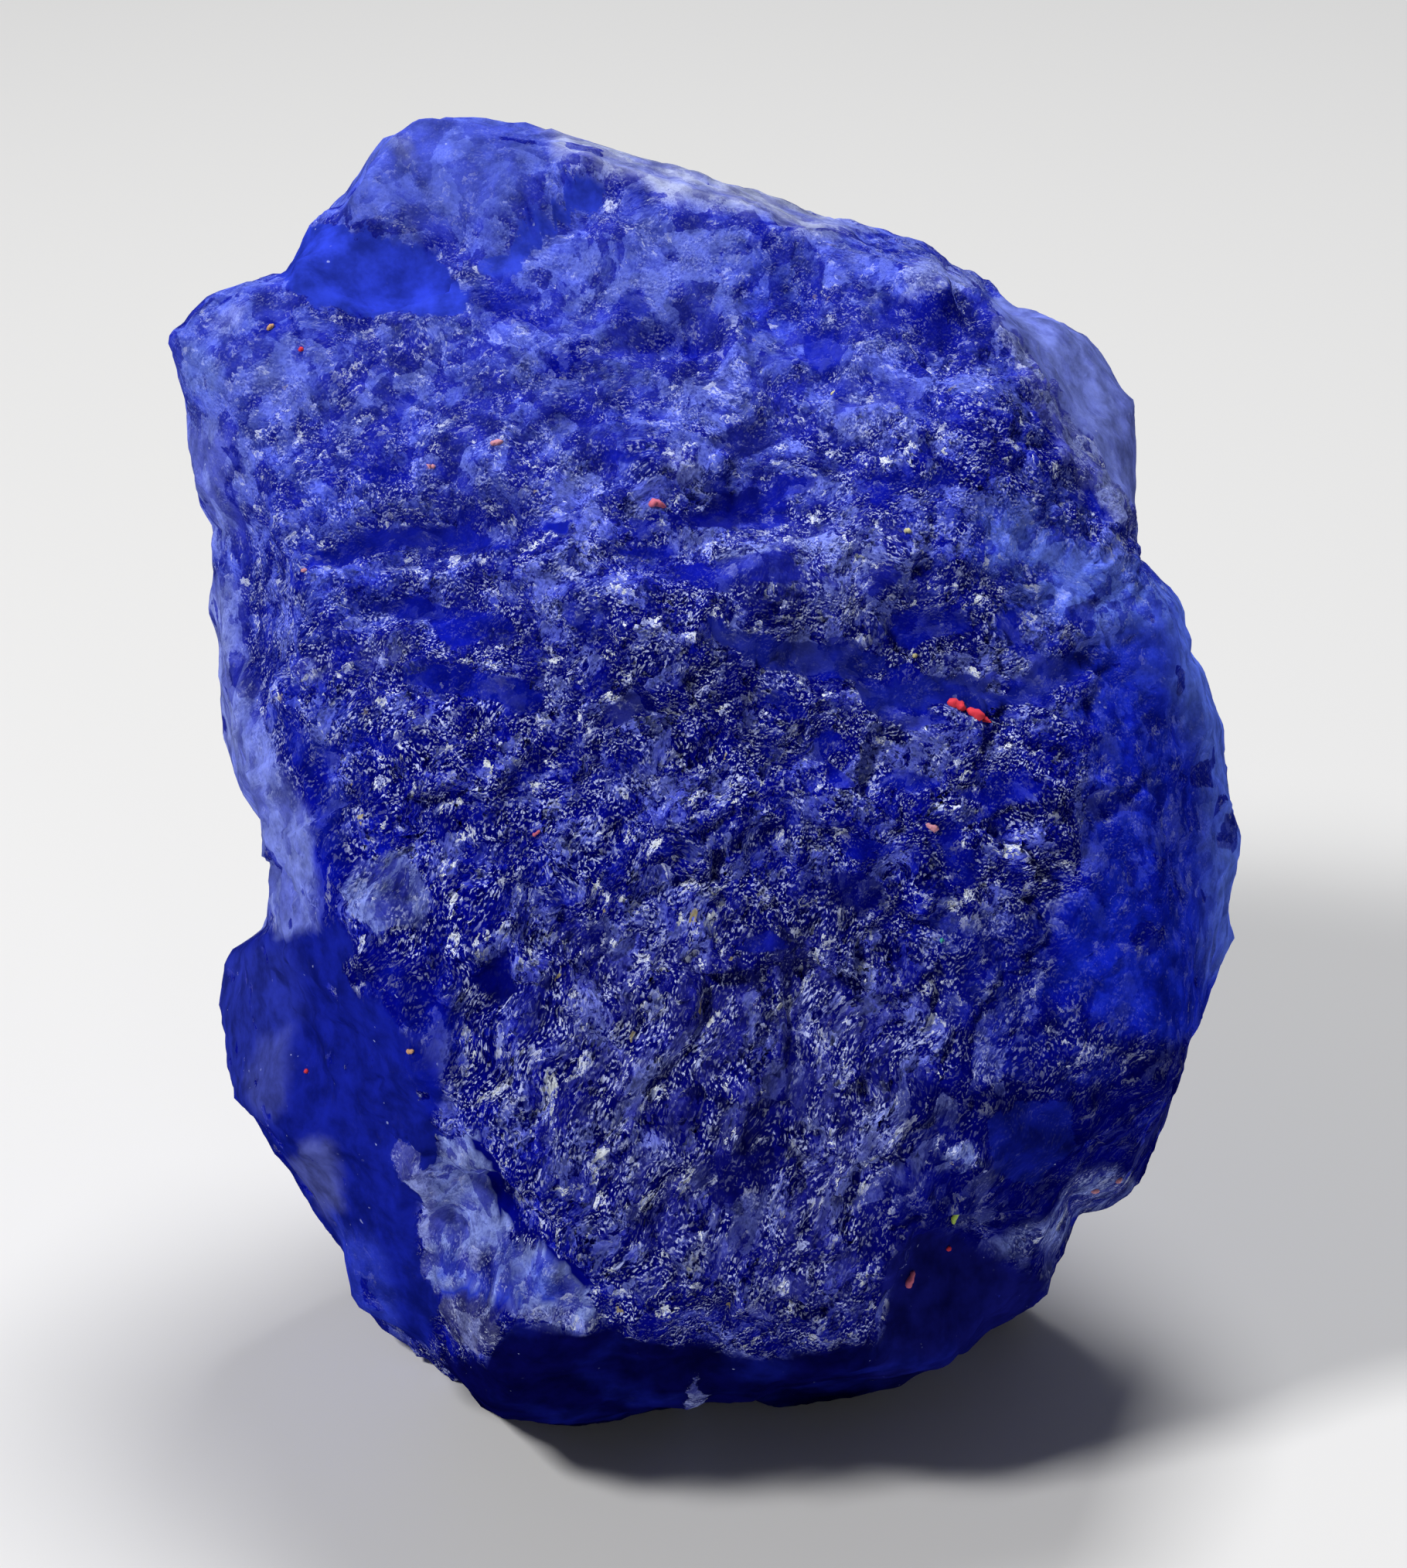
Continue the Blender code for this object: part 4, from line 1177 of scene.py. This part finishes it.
# Bits of dyed lint caught on the stone: colour, its two ends as seen from the front, and its thickness.
lint = {
    "redLump": ("red", (13.3, 3.9), (14.4, 3.6), 0.30),
    "redTail": ("red", (14.3, 3.5), (15.8, 2.8), 0.26),
    "roseInTrough": ("rose", (-3.0, 14.9), (-2.1, 14.7), 0.22),
    "pinkRight": ("pink", (12.1, -2.8), (13.0, -3.2), 0.20),
    "pinkA": ("pink", (-11.7, 18.1), (-11.1, 18.2), 0.15),
    "pinkB": ("pink", (-15.2, 16.8), (-14.7, 16.9), 0.13),
    "amberCorner": ("amber", (-23.9, 24.5), (-23.5, 24.6), 0.13),
    "redCorner": ("red", (-22.3, 23.3), (-22.1, 23.5), 0.12),
    "pinkLeft": ("pink", (-22.1, 11.0), (-21.8, 11.2), 0.12),
    "pinkMiddle": ("rose", (-9.3, -3.4), (-8.9, -3.2), 0.12),
    "redBevel": ("red", (-22.0, -16.6), (-21.8, -16.4), 0.12),
    "amberRidge": ("amber", (-16.3, -15.3), (-15.9, -15.1), 0.14),
    "limeUpright": ("lime", (13.8, -24.8), (14.0, -23.8), 0.18),
    "redLow": ("red", (13.4, -26.4), (13.6, -26.1), 0.15),
    "pinkLow": ("rose", (11.3, -28.4), (11.5, -27.5), 0.20),
    "paleLowA": ("pink", (22.0, -23.7), (22.4, -23.6), 0.15),
    "paleLowB": ("pink", (23.3, -23.1), (23.7, -23.0), 0.15),
    "teal": ("teal", (13.2, -9.4), (13.5, -9.4), 0.14),
    "strawA": ("straw", (6.9, 20.7), (7.2, 20.8), 0.15),
    "strawB": ("straw", (11.1, 13.3), (11.4, 13.4), 0.14),
    "strawC": ("straw", (11.6, 6.4), (11.9, 6.4), 0.13),
}
lintHues = {
    "red": (0.72, 0.03, 0.06),
    "rose": (0.62, 0.14, 0.22),
    "pink": (0.60, 0.26, 0.34),
    "amber": (0.55, 0.30, 0.16),
    "lime": (0.42, 0.60, 0.10),
    "teal": (0.05, 0.42, 0.40),
    "straw": (0.62, 0.58, 0.30),
}
lintShape = {
    "rings": 9,
    "sides": 8,
    "wave": (0.16, 0.5),  # how far a bit bends, and over what length
    "apart": 7.0,  # how far apart the bits' waves are drawn, so that no two are alike
    "uneven": 0.6,
    "rise": 0.2,  # how far its middle line stands out, as a share of its thickness
    "bluntest": 0.02,
    "firstAim": 6.0,  # how far out the first aim is
    "aims": 12,
}


# Ways from the heart to the surface points seen at the given (u, v): aim, look, and correct the aim.
def waysToSeen(seen):
    aims = np.column_stack([seen, np.full(len(seen), lintShape["firstAim"])])
    for _ in range(lintShape["aims"]):
        ways = (aims - stone["heart"]) / np.linalg.norm(aims - stone["heart"], axis=1, keepdims=True)
        points, _ = dressedSurface(ways)
        aims = points.copy()
        aims[:, :2] += seen - seenFromFront(points)
    return ways


# The squares and end caps of a closed tube, as point numbers; the two end points come after the rings.
def tubeTriangles(rings, sides):
    ring, side = np.meshgrid(np.arange(rings - 1), np.arange(sides), indexing="ij")
    a, b = ring * sides + side, ring * sides + (side + 1) % sides
    walls = [np.stack([a, b, b + sides], axis=-1), np.stack([a, b + sides, a + sides], axis=-1)]
    side = np.arange(sides)
    following, last = (side + 1) % sides, (rings - 1) * sides
    caps = [
        np.stack([following, side, np.full(sides, rings * sides)], axis=1),
        np.stack([last + side, last + following, np.full(sides, rings * sides + 1)], axis=1),
    ]
    return np.concatenate([part.reshape(-1, 3) for part in walls + caps])[:, ::-1]


# Each bit's middle line, bent by noise: rings points for each bit, as seen from the front.
def lintLines():
    swing, length = lintShape["wave"]
    share = np.linspace(0, 1, lintShape["rings"])[:, None]
    lines = []
    for number, (_, start, end, _) in enumerate(lint.values()):
        line = np.array(start) + share * (np.array(end) - start)
        place = np.column_stack([line, np.full(len(line), number * lintShape["apart"])])
        for axis in range(2):
            line[:, axis] += swing * smoothNoise(place, length, seeds["lint"] + axis)
        lines.append(line)
    return np.concatenate(lines)


# Each bit is a closed uneven tube along its line on the surface, half sunk, its radius a half circle's.
def lintTube(number, thick, ways, path):
    rings, sides = lintShape["rings"], lintShape["sides"]
    along = np.gradient(path, axis=0)
    across = np.cross(along, ways)
    across /= np.linalg.norm(across, axis=1, keepdims=True)
    out = np.cross(across, along)
    out /= np.linalg.norm(out, axis=1, keepdims=True)
    middle = path + out * (thick * lintShape["rise"])
    cell = np.stack(np.indices((rings, sides)), axis=-1)
    own = latticeRandom(np.dstack([cell, cell[..., 0]]), number)[..., 0] - 0.5
    fromMiddle = np.linspace(0, 1, rings) * 2 - 1
    half = thick * np.sqrt(np.clip(1 - fromMiddle**2, lintShape["bluntest"], 1))
    radius = (1 + lintShape["uneven"] * own) * half[:, None]
    turn = (np.arange(sides) * 2 * math.pi / sides)[:, None]
    spoke = across[:, None] * np.cos(turn) + out[:, None] * np.sin(turn)
    tube = middle[:, None] + radius[..., None] * spoke
    return np.concatenate([tube.reshape(-1, 3), middle[[0, -1]]])


def makeLint():
    rings, sides = lintShape["rings"], lintShape["sides"]
    ways = waysToSeen(lintLines())
    paths, _ = dressedSurface(ways)
    ways, paths = ways.reshape(-1, rings, 3), paths.reshape(-1, rings, 3)
    points, triangles, colours = [], [], []
    for number, (hue, _, _, thick) in enumerate(lint.values()):
        tube = lintTube(number, thick, ways[number], paths[number])
        triangles.append(tubeTriangles(rings, sides) + number * len(tube))
        points.append(tube)
        colours.append(np.tile(lintHues[hue], (len(tube), 1)))
    upright = standUp(np.concatenate(points)) - shift
    piece = buildMesh("lint", upright * mm, np.concatenate(triangles))
    addAttribute(piece.data, "ownColour", np.concatenate(colours))
    print("lint made:", len(piece.data.polygons), "triangles")
    return piece


caughtLint = makeLint()


# A wire is one output of a node; sums written on it add Math nodes.
class Wire:
    def __init__(self, bench, socket):
        self.bench = bench
        self.socket = socket

    def sum(self, operation, first, second=0.0):
        return self.bench.node("ShaderNodeMath", {"operation": operation}, {0: first, 1: second})["Value"]

    def __add__(self, other):
        return self.sum("ADD", self, other)

    def __sub__(self, other):
        return self.sum("SUBTRACT", self, other)

    def __mul__(self, other):
        return self.sum("MULTIPLY", self, other)

    def __rsub__(self, other):
        return self.sum("SUBTRACT", other, self)

    __radd__ = __add__
    __rmul__ = __mul__

    # 0 below low, 1 above high, eased between.
    def step(self, low, high):
        inputs = {"Value": self, "From Min": low, "From Max": high}
        return self.bench.node("ShaderNodeMapRange", {"interpolation_type": "SMOOTHSTEP"}, inputs)["Result"]


# A bench holds one material's nodes.
class Bench:
    def __init__(self, name):
        self.material = bpy.data.materials.new(name)
        self.material.use_nodes = True
        self.tree = self.material.node_tree
        self.shader = self.tree.nodes["Principled BSDF"]

    def plug(self, socket, value):
        if isinstance(value, Wire):
            self.tree.links.new(value.socket, socket)
        elif isinstance(value, tuple) and socket.type == "RGBA" and len(value) == 3:
            socket.default_value = (*value, 1)
        else:
            socket.default_value = value

    # One node: its settings first, then the values or wires of its sockets. Gives its outputs by name.
    def node(self, kind, settings=None, inputs=None):
        made = self.tree.nodes.new(kind)
        for name, value in (settings or {}).items():
            setattr(made, name, value)
        for key, value in (inputs or {}).items():
            if isinstance(key, int):
                socket = made.inputs[key]
            else:
                socket = next(found for found in made.inputs if key in (found.identifier, found.name))
            self.plug(socket, value)
        outputs = {}
        for socket in made.outputs:
            if socket.enabled:
                outputs[socket.name] = Wire(self, socket)
        return outputs

    def vector(self, operation, first, second=(0, 0, 0)):
        outputs = self.node("ShaderNodeVectorMath", {"operation": operation}, {0: first, 1: second})
        return next(iter(outputs.values()))

    def blend(self, first, second, share, mode="MIX"):
        settings = {"data_type": "RGBA", "blend_type": mode}
        inputs = {"Factor_Float": share, "A_Color": first, "B_Color": second}
        return self.node("ShaderNodeMix", settings, inputs)["Result"]

    def scaled(self, vector, factor):
        inputs = {"Vector": vector, "Scale": factor}
        return self.node("ShaderNodeVectorMath", {"operation": "SCALE"}, inputs)["Vector"]

    def noise(self, vector, scale, detail=2.0, roughness=0.6):
        inputs = {"Vector": vector, "Scale": scale, "Detail": detail, "Roughness": roughness}
        return self.node("ShaderNodeTexNoise", {}, inputs)

    def cells(self, vector, scale):
        return self.node("ShaderNodeTexVoronoi", {}, {"Vector": vector, "Scale": scale})

    def value(self, name):
        return self.node("ShaderNodeAttribute", {"attribute_name": name})["Fac"]

    def colour(self, name):
        return self.node("ShaderNodeAttribute", {"attribute_name": name})["Vector"]

    def finish(self, values):
        for name, value in values.items():
            self.plug(self.shader.inputs[name], value)
        return self.material


# The stone's finish. A pair is where something begins and is full, unless its note says otherwise.
# Broken and lively are how little calm a place has.
# Its highlights, glints, sheen and the shade in gaps and creases are painted into the colour.
finish = {
    "veinPerMm": 3.2,
    "creasePerMm": 4.4,
    "clusterPerMm": 0.42,
    "busyPerMm": 0.8,
    "cloudPerMm": 0.55,
    "jagPerMm": 1.6,
    "dustPerMm": 2.6,
    "dustyPerMm": 0.32,
    # the fixed way from which the painted highlights and shade on grains and creases are lit
    "towardsLight": (-0.30, 0.45, 0.20),
    "lightReach": 0.10,
    "patchEdge": (0.44, 0.56),
    "edgeJags": (0.5, 0.12, 0.2),  # how far noise, flakes and blocks move a patch's edge
    "broken": (0.06, 0.35),
    "lively": (0.05, 0.95),
    "clouds": (0.25, 0.75),
    "cloudTones": (0.55, 0.9),  # darkest, and what the palest adds
    "slabTones": (0.8, 0.3),  # a tone of its own, and lit from one side
    "blockTones": (0.66, 0.25),
    "flakeTones": (0.15, 0.2),  # its own tone in calm places, and what lively ones add
    "sheenTone": 0.5,
    "firstTone": 0.14,
    "deepTones": (0.10, 0.55),
    "deepShare": 0.8,
    "paintedSheenTones": (0.42, 0.95),
    "paintedSheenShare": (0.28, 0.66),  # in calm places, and what lively ones add
    "clusters": (0.38, 0.62),
    "busyClusters": (0.35, 0.75),  # outside the clusters, and what they add
    "sideShares": (0.6, 0.85),  # of the flakes' and the blocks' light
    "sideSteep": (1.2, 1.4),  # least, and how much the blocks vary it
    "sidePick": 0.2,
    "gapSides": (-0.55, -0.15),
    "gapShare": (0.10, 0.9),  # in broken places, and in lively ones
    "gapNavy": 0.7,
    "crestSides": (0.40, 0.70),
    "glintSides": (0.80, 1.05),
    "glintPicks": (0.6, 0.3),  # how much the flakes and the blocks choose where glints fall
    "shadedCreases": (0.03, 0.14),
    "shadeShare": 0.25,  # in broken places
    "litCreases": (0.06, 0.22),
    "busyPlaces": (0.44, 0.62),
    "busyLeast": 0.12,
    "fleckPick": (0.4990, 0.4996),
    "fleckShare": 0.8,
    "dustSpots": (0.75, 0.79),
    "dustyPlaces": (0.5, 0.66),
    "dustShare": 0.8,
    "roughness": (0.24, 0.2),  # middle, and how much it varies
    "wrinkle": (0.3, 1.9),  # in calm places, and what lively ones add
    "flakeTilt": 0.9,
    "blockTilt": (0.10, 0.6),
    # painted sheen: a pale reflection laid over high-toned facets
    "paintedSheen": (0.115, 0.145, 0.360),
    # deeper paints the shade in gaps and creases, and darkens low-toned facets
    "deeper": (0.10, 0.10, 0.55),
    # crest, glint and edgeLight are painted highlights; crest is also the colour of the pale dust
    "crest": (0.390, 0.450, 0.840),
    "glint": (0.86, 0.92, 1.0),
    "edgeLight": (0.52, 0.58, 0.94),
    "fleck": (0.42, 0.36, 0.16),
    "gloss": 0.0,  # the crests and glints are painted instead
}
# Three sizes of grain: how many to a mm, how steep they are, and how far the veins bend them.
grains = {"flake": (3.7, 2.2, 0.8), "block": (1.1, 1.6, 0.8), "slab": (0.5, 1.2, 0.3)}
slightBend = 0.3
midGrey = (0.5, 0.5, 0.5)


# Broken grains: each cell has random numbers of its own, and a slope across it from edge to edge, partly
# random and partly towards the fixed light, that paints its light and shade.
def brokenGrains(bench, flow, veins, name):
    perMm, steep, bend = grains[name]
    place = bench.vector("ADD", flow, bench.scaled(veins, bend))
    cells = bench.cells(place, perMm)
    own = bench.vector("SUBTRACT", cells["Color"], midGrey)
    local = bench.scaled(bench.vector("SUBTRACT", place, cells["Position"]), perMm)
    slope = bench.vector("ADD", bench.scaled(own, steep), finish["towardsLight"])
    picks = bench.node("ShaderNodeSeparateColor", {}, {"Color": own})
    return {"own": own, "side": bench.vector("DOT_PRODUCT", local, slope), **picks}


# Light across small creases: |noise - 1/2| a little way towards the light, less the same away from it.
def lightAcross(bench, place):
    shifted = tuple(finish["lightReach"] * part for part in finish["towardsLight"])
    sides = []
    for operation in ("ADD", "SUBTRACT"):
        noise = bench.noise(bench.vector(operation, place, shifted), finish["creasePerMm"], 1.0)["Color"]
        sides.append(bench.vector("ABSOLUTE", bench.vector("SUBTRACT", noise, midGrey)))
    return bench.vector("DOT_PRODUCT", bench.vector("SUBTRACT", sides[0], sides[1]), (1, 1, 1))


# The colour and the calm underneath. A patch begins where a point is far enough inside it, and the
# grains make its edge jagged.
def colourUnderneath(bench, place, flake, block):
    byNoise, byFlake, byBlock = finish["edgeJags"]
    jag = bench.noise(place, finish["jagPerMm"] / mm, 3.0)["Fac"] - 0.5
    depth = bench.value("inside") + jag * byNoise + flake["side"] * byFlake
    patch = (depth + (block["Blue"] - 0.5) * byBlock).step(*finish["patchEdge"])
    own = bench.blend(bench.colour("ownColour"), bench.colour("patchColour"), patch)
    calm = bench.value("calm") * (1 - patch) + bench.value("patchCalm") * patch
    darkest, added = finish["cloudTones"]
    cloud = bench.noise(place, finish["cloudPerMm"] / mm, 4.0)["Fac"].step(*finish["clouds"])
    return bench.scaled(own, cloud * added + darkest), calm


# Facets: every slab, block and flake has a tone of its own plus a painted light from one side; low tones
# are painted deeper, high tones get a painted sheen over the colour underneath.
def facetTones(bench, own, deep, flake, block, slab, broken, lively):
    (slabOwn, slabLit), (blockOwn, blockLit) = finish["slabTones"], finish["blockTones"]
    calmFlake, livelyFlake = finish["flakeTones"]
    tone = slab["Red"] * slabOwn + block["Red"] * blockOwn
    tone = tone + flake["Red"] * (calmFlake + lively * livelyFlake)
    tone = tone + block["side"] * blockLit + slab["side"] * slabLit
    tone = tone + bench.value("sheen") * finish["sheenTone"] + finish["firstTone"]
    base = bench.blend(own, deep, (1 - tone.step(*finish["deepTones"])) * broken * finish["deepShare"])
    calmSheen, livelySheen = finish["paintedSheenShare"]
    # painted sheen where a facet's tone is high
    paintedSheen = tone.step(*finish["paintedSheenTones"]) * broken * (calmSheen + lively * livelySheen)
    return bench.blend(base, finish["paintedSheen"], paintedSheen, "ADD")


# Sides: thin painted highlights on the crests with painted shade in the gaps beside them, in clusters, and
# a few painted glints.
def crestsAndGaps(bench, base, deep, flow, flake, block, broken, lively):
    cluster = bench.noise(flow, finish["clusterPerMm"])["Fac"].step(*finish["clusters"])
    outside, added = finish["busyClusters"]
    busy = lively * (outside + cluster * added)
    (flakeShare, blockShare), (least, varied) = finish["sideShares"], finish["sideSteep"]
    sides = (flake["side"] * flakeShare + block["side"] * blockShare) * (least + block["Green"] * varied)
    sides = sides + flake["Red"] * finish["sidePick"]
    brokenGaps, livelyGaps = finish["gapShare"]
    gaps = (1 - sides.step(*finish["gapSides"])) * (brokenGaps * broken + lively * livelyGaps)
    base = bench.blend(base, deep, gaps)
    base = bench.blend(base, hues["navy"], gaps * lively * finish["gapNavy"])
    base = bench.blend(base, finish["crest"], sides.step(*finish["crestSides"]) * busy)
    byFlake, byBlock = finish["glintPicks"]
    spark = (sides + flake["Green"] * byFlake + block["Blue"] * byBlock).step(*finish["glintSides"])
    return bench.blend(base, finish["glint"], spark * busy)


# Fine creases, each with a painted lit side and a painted shaded side, more of them in busy places.
def creases(bench, base, deep, flow, veins, broken, lively):
    light = lightAcross(bench, bench.vector("ADD", flow, bench.scaled(veins, slightBend)))
    least = finish["busyLeast"]
    busy = bench.noise(flow, finish["busyPerMm"])["Fac"].step(*finish["busyPlaces"]) * (1 - least) + least
    shade = (0.0 - light).step(*finish["shadedCreases"])
    base = bench.blend(base, deep, shade * (broken * finish["shadeShare"]))
    base = bench.blend(base, hues["navy"], shade * (lively * busy))
    return bench.blend(base, finish["edgeLight"], light.step(*finish["litCreases"]) * (lively * busy))


# Yellowish flecks among the grains, and pale dust on the calm places.
def flecksAndDust(bench, base, place, flake, lively):
    fleck = flake["Blue"].step(*finish["fleckPick"]) * lively
    base = bench.blend(base, finish["fleck"], fleck * finish["fleckShare"])
    dust = bench.noise(place, finish["dustPerMm"] / mm, 1.0, 0.5)["Fac"].step(*finish["dustSpots"])
    dusty = bench.noise(place, finish["dustyPerMm"] / mm)["Fac"].step(*finish["dustyPlaces"])
    return bench.blend(base, finish["crest"], dust * dusty * (1 - lively) * finish["dustShare"])


# Every grain and crystal is tilted its own way.
def tiltedNormal(bench, veins, flake, block, lively):
    (calmWrinkle, livelyWrinkle), (calmBlock, livelyBlock) = finish["wrinkle"], finish["blockTilt"]
    facing = bench.node("ShaderNodeNewGeometry")["Normal"]
    wrinkle = bench.scaled(bench.vector("SUBTRACT", veins, midGrey), calmWrinkle + lively * livelyWrinkle)
    flakeTilt = bench.scaled(flake["own"], lively * finish["flakeTilt"])
    tilt = bench.vector("ADD", flakeTilt, bench.scaled(block["own"], calmBlock + lively * livelyBlock))
    return bench.vector("NORMALIZE", bench.vector("ADD", facing, bench.vector("ADD", tilt, wrinkle)))


def sapphireFinish():
    bench = Bench("roughSapphire")
    flow = bench.colour("grainPlace")
    place = bench.node("ShaderNodeTexCoord")["Object"]
    # veins: three noises at once, which bend the grains and tilt the surface
    veins = bench.noise(flow, finish["veinPerMm"], 3.0, 0.62)["Color"]
    flake, block, slab = (brokenGrains(bench, flow, veins, name) for name in ("flake", "block", "slab"))
    own, calm = colourUnderneath(bench, place, flake, block)
    broken = (1 - calm).step(*finish["broken"])
    lively = (1 - calm).step(*finish["lively"])
    deep = bench.blend(own, finish["deeper"], 1.0, "MULTIPLY")
    base = facetTones(bench, own, deep, flake, block, slab, broken, lively)
    base = crestsAndGaps(bench, base, deep, flow, flake, block, broken, lively)
    base = creases(bench, base, deep, flow, veins, broken, lively)
    base = flecksAndDust(bench, base, place, flake, lively)
    middle, varies = finish["roughness"]
    return bench.finish(
        {
            "Base Color": base,
            "Roughness": middle + flake["Blue"] * varies,
            "Normal": tiltedNormal(bench, veins, flake, block, lively),
            "Specular IOR Level": finish["gloss"],
        }
    )


# Fluffy and dull: its own colour, a little uneven.
lintFluff = {"perMm": 4.0, "darkest": 0.7, "varies": 0.6, "roughness": 0.8}


def lintFinish():
    bench = Bench("dyedLint")
    place = bench.node("ShaderNodeTexCoord")["Object"]
    noise = bench.noise(place, lintFluff["perMm"] / mm, 2.0, 0.5)["Fac"]
    uneven = noise * lintFluff["varies"] + lintFluff["darkest"]
    fluff = bench.scaled(bench.colour("ownColour"), uneven)
    return bench.finish({"Base Color": fluff, "Roughness": lintFluff["roughness"]})


caughtLint.data.materials.append(lintFinish())
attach(caughtLint, "root")
roughStone.data.materials.append(sapphireFinish())
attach(roughStone, "root")
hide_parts("sapphire")
print("stone finished")
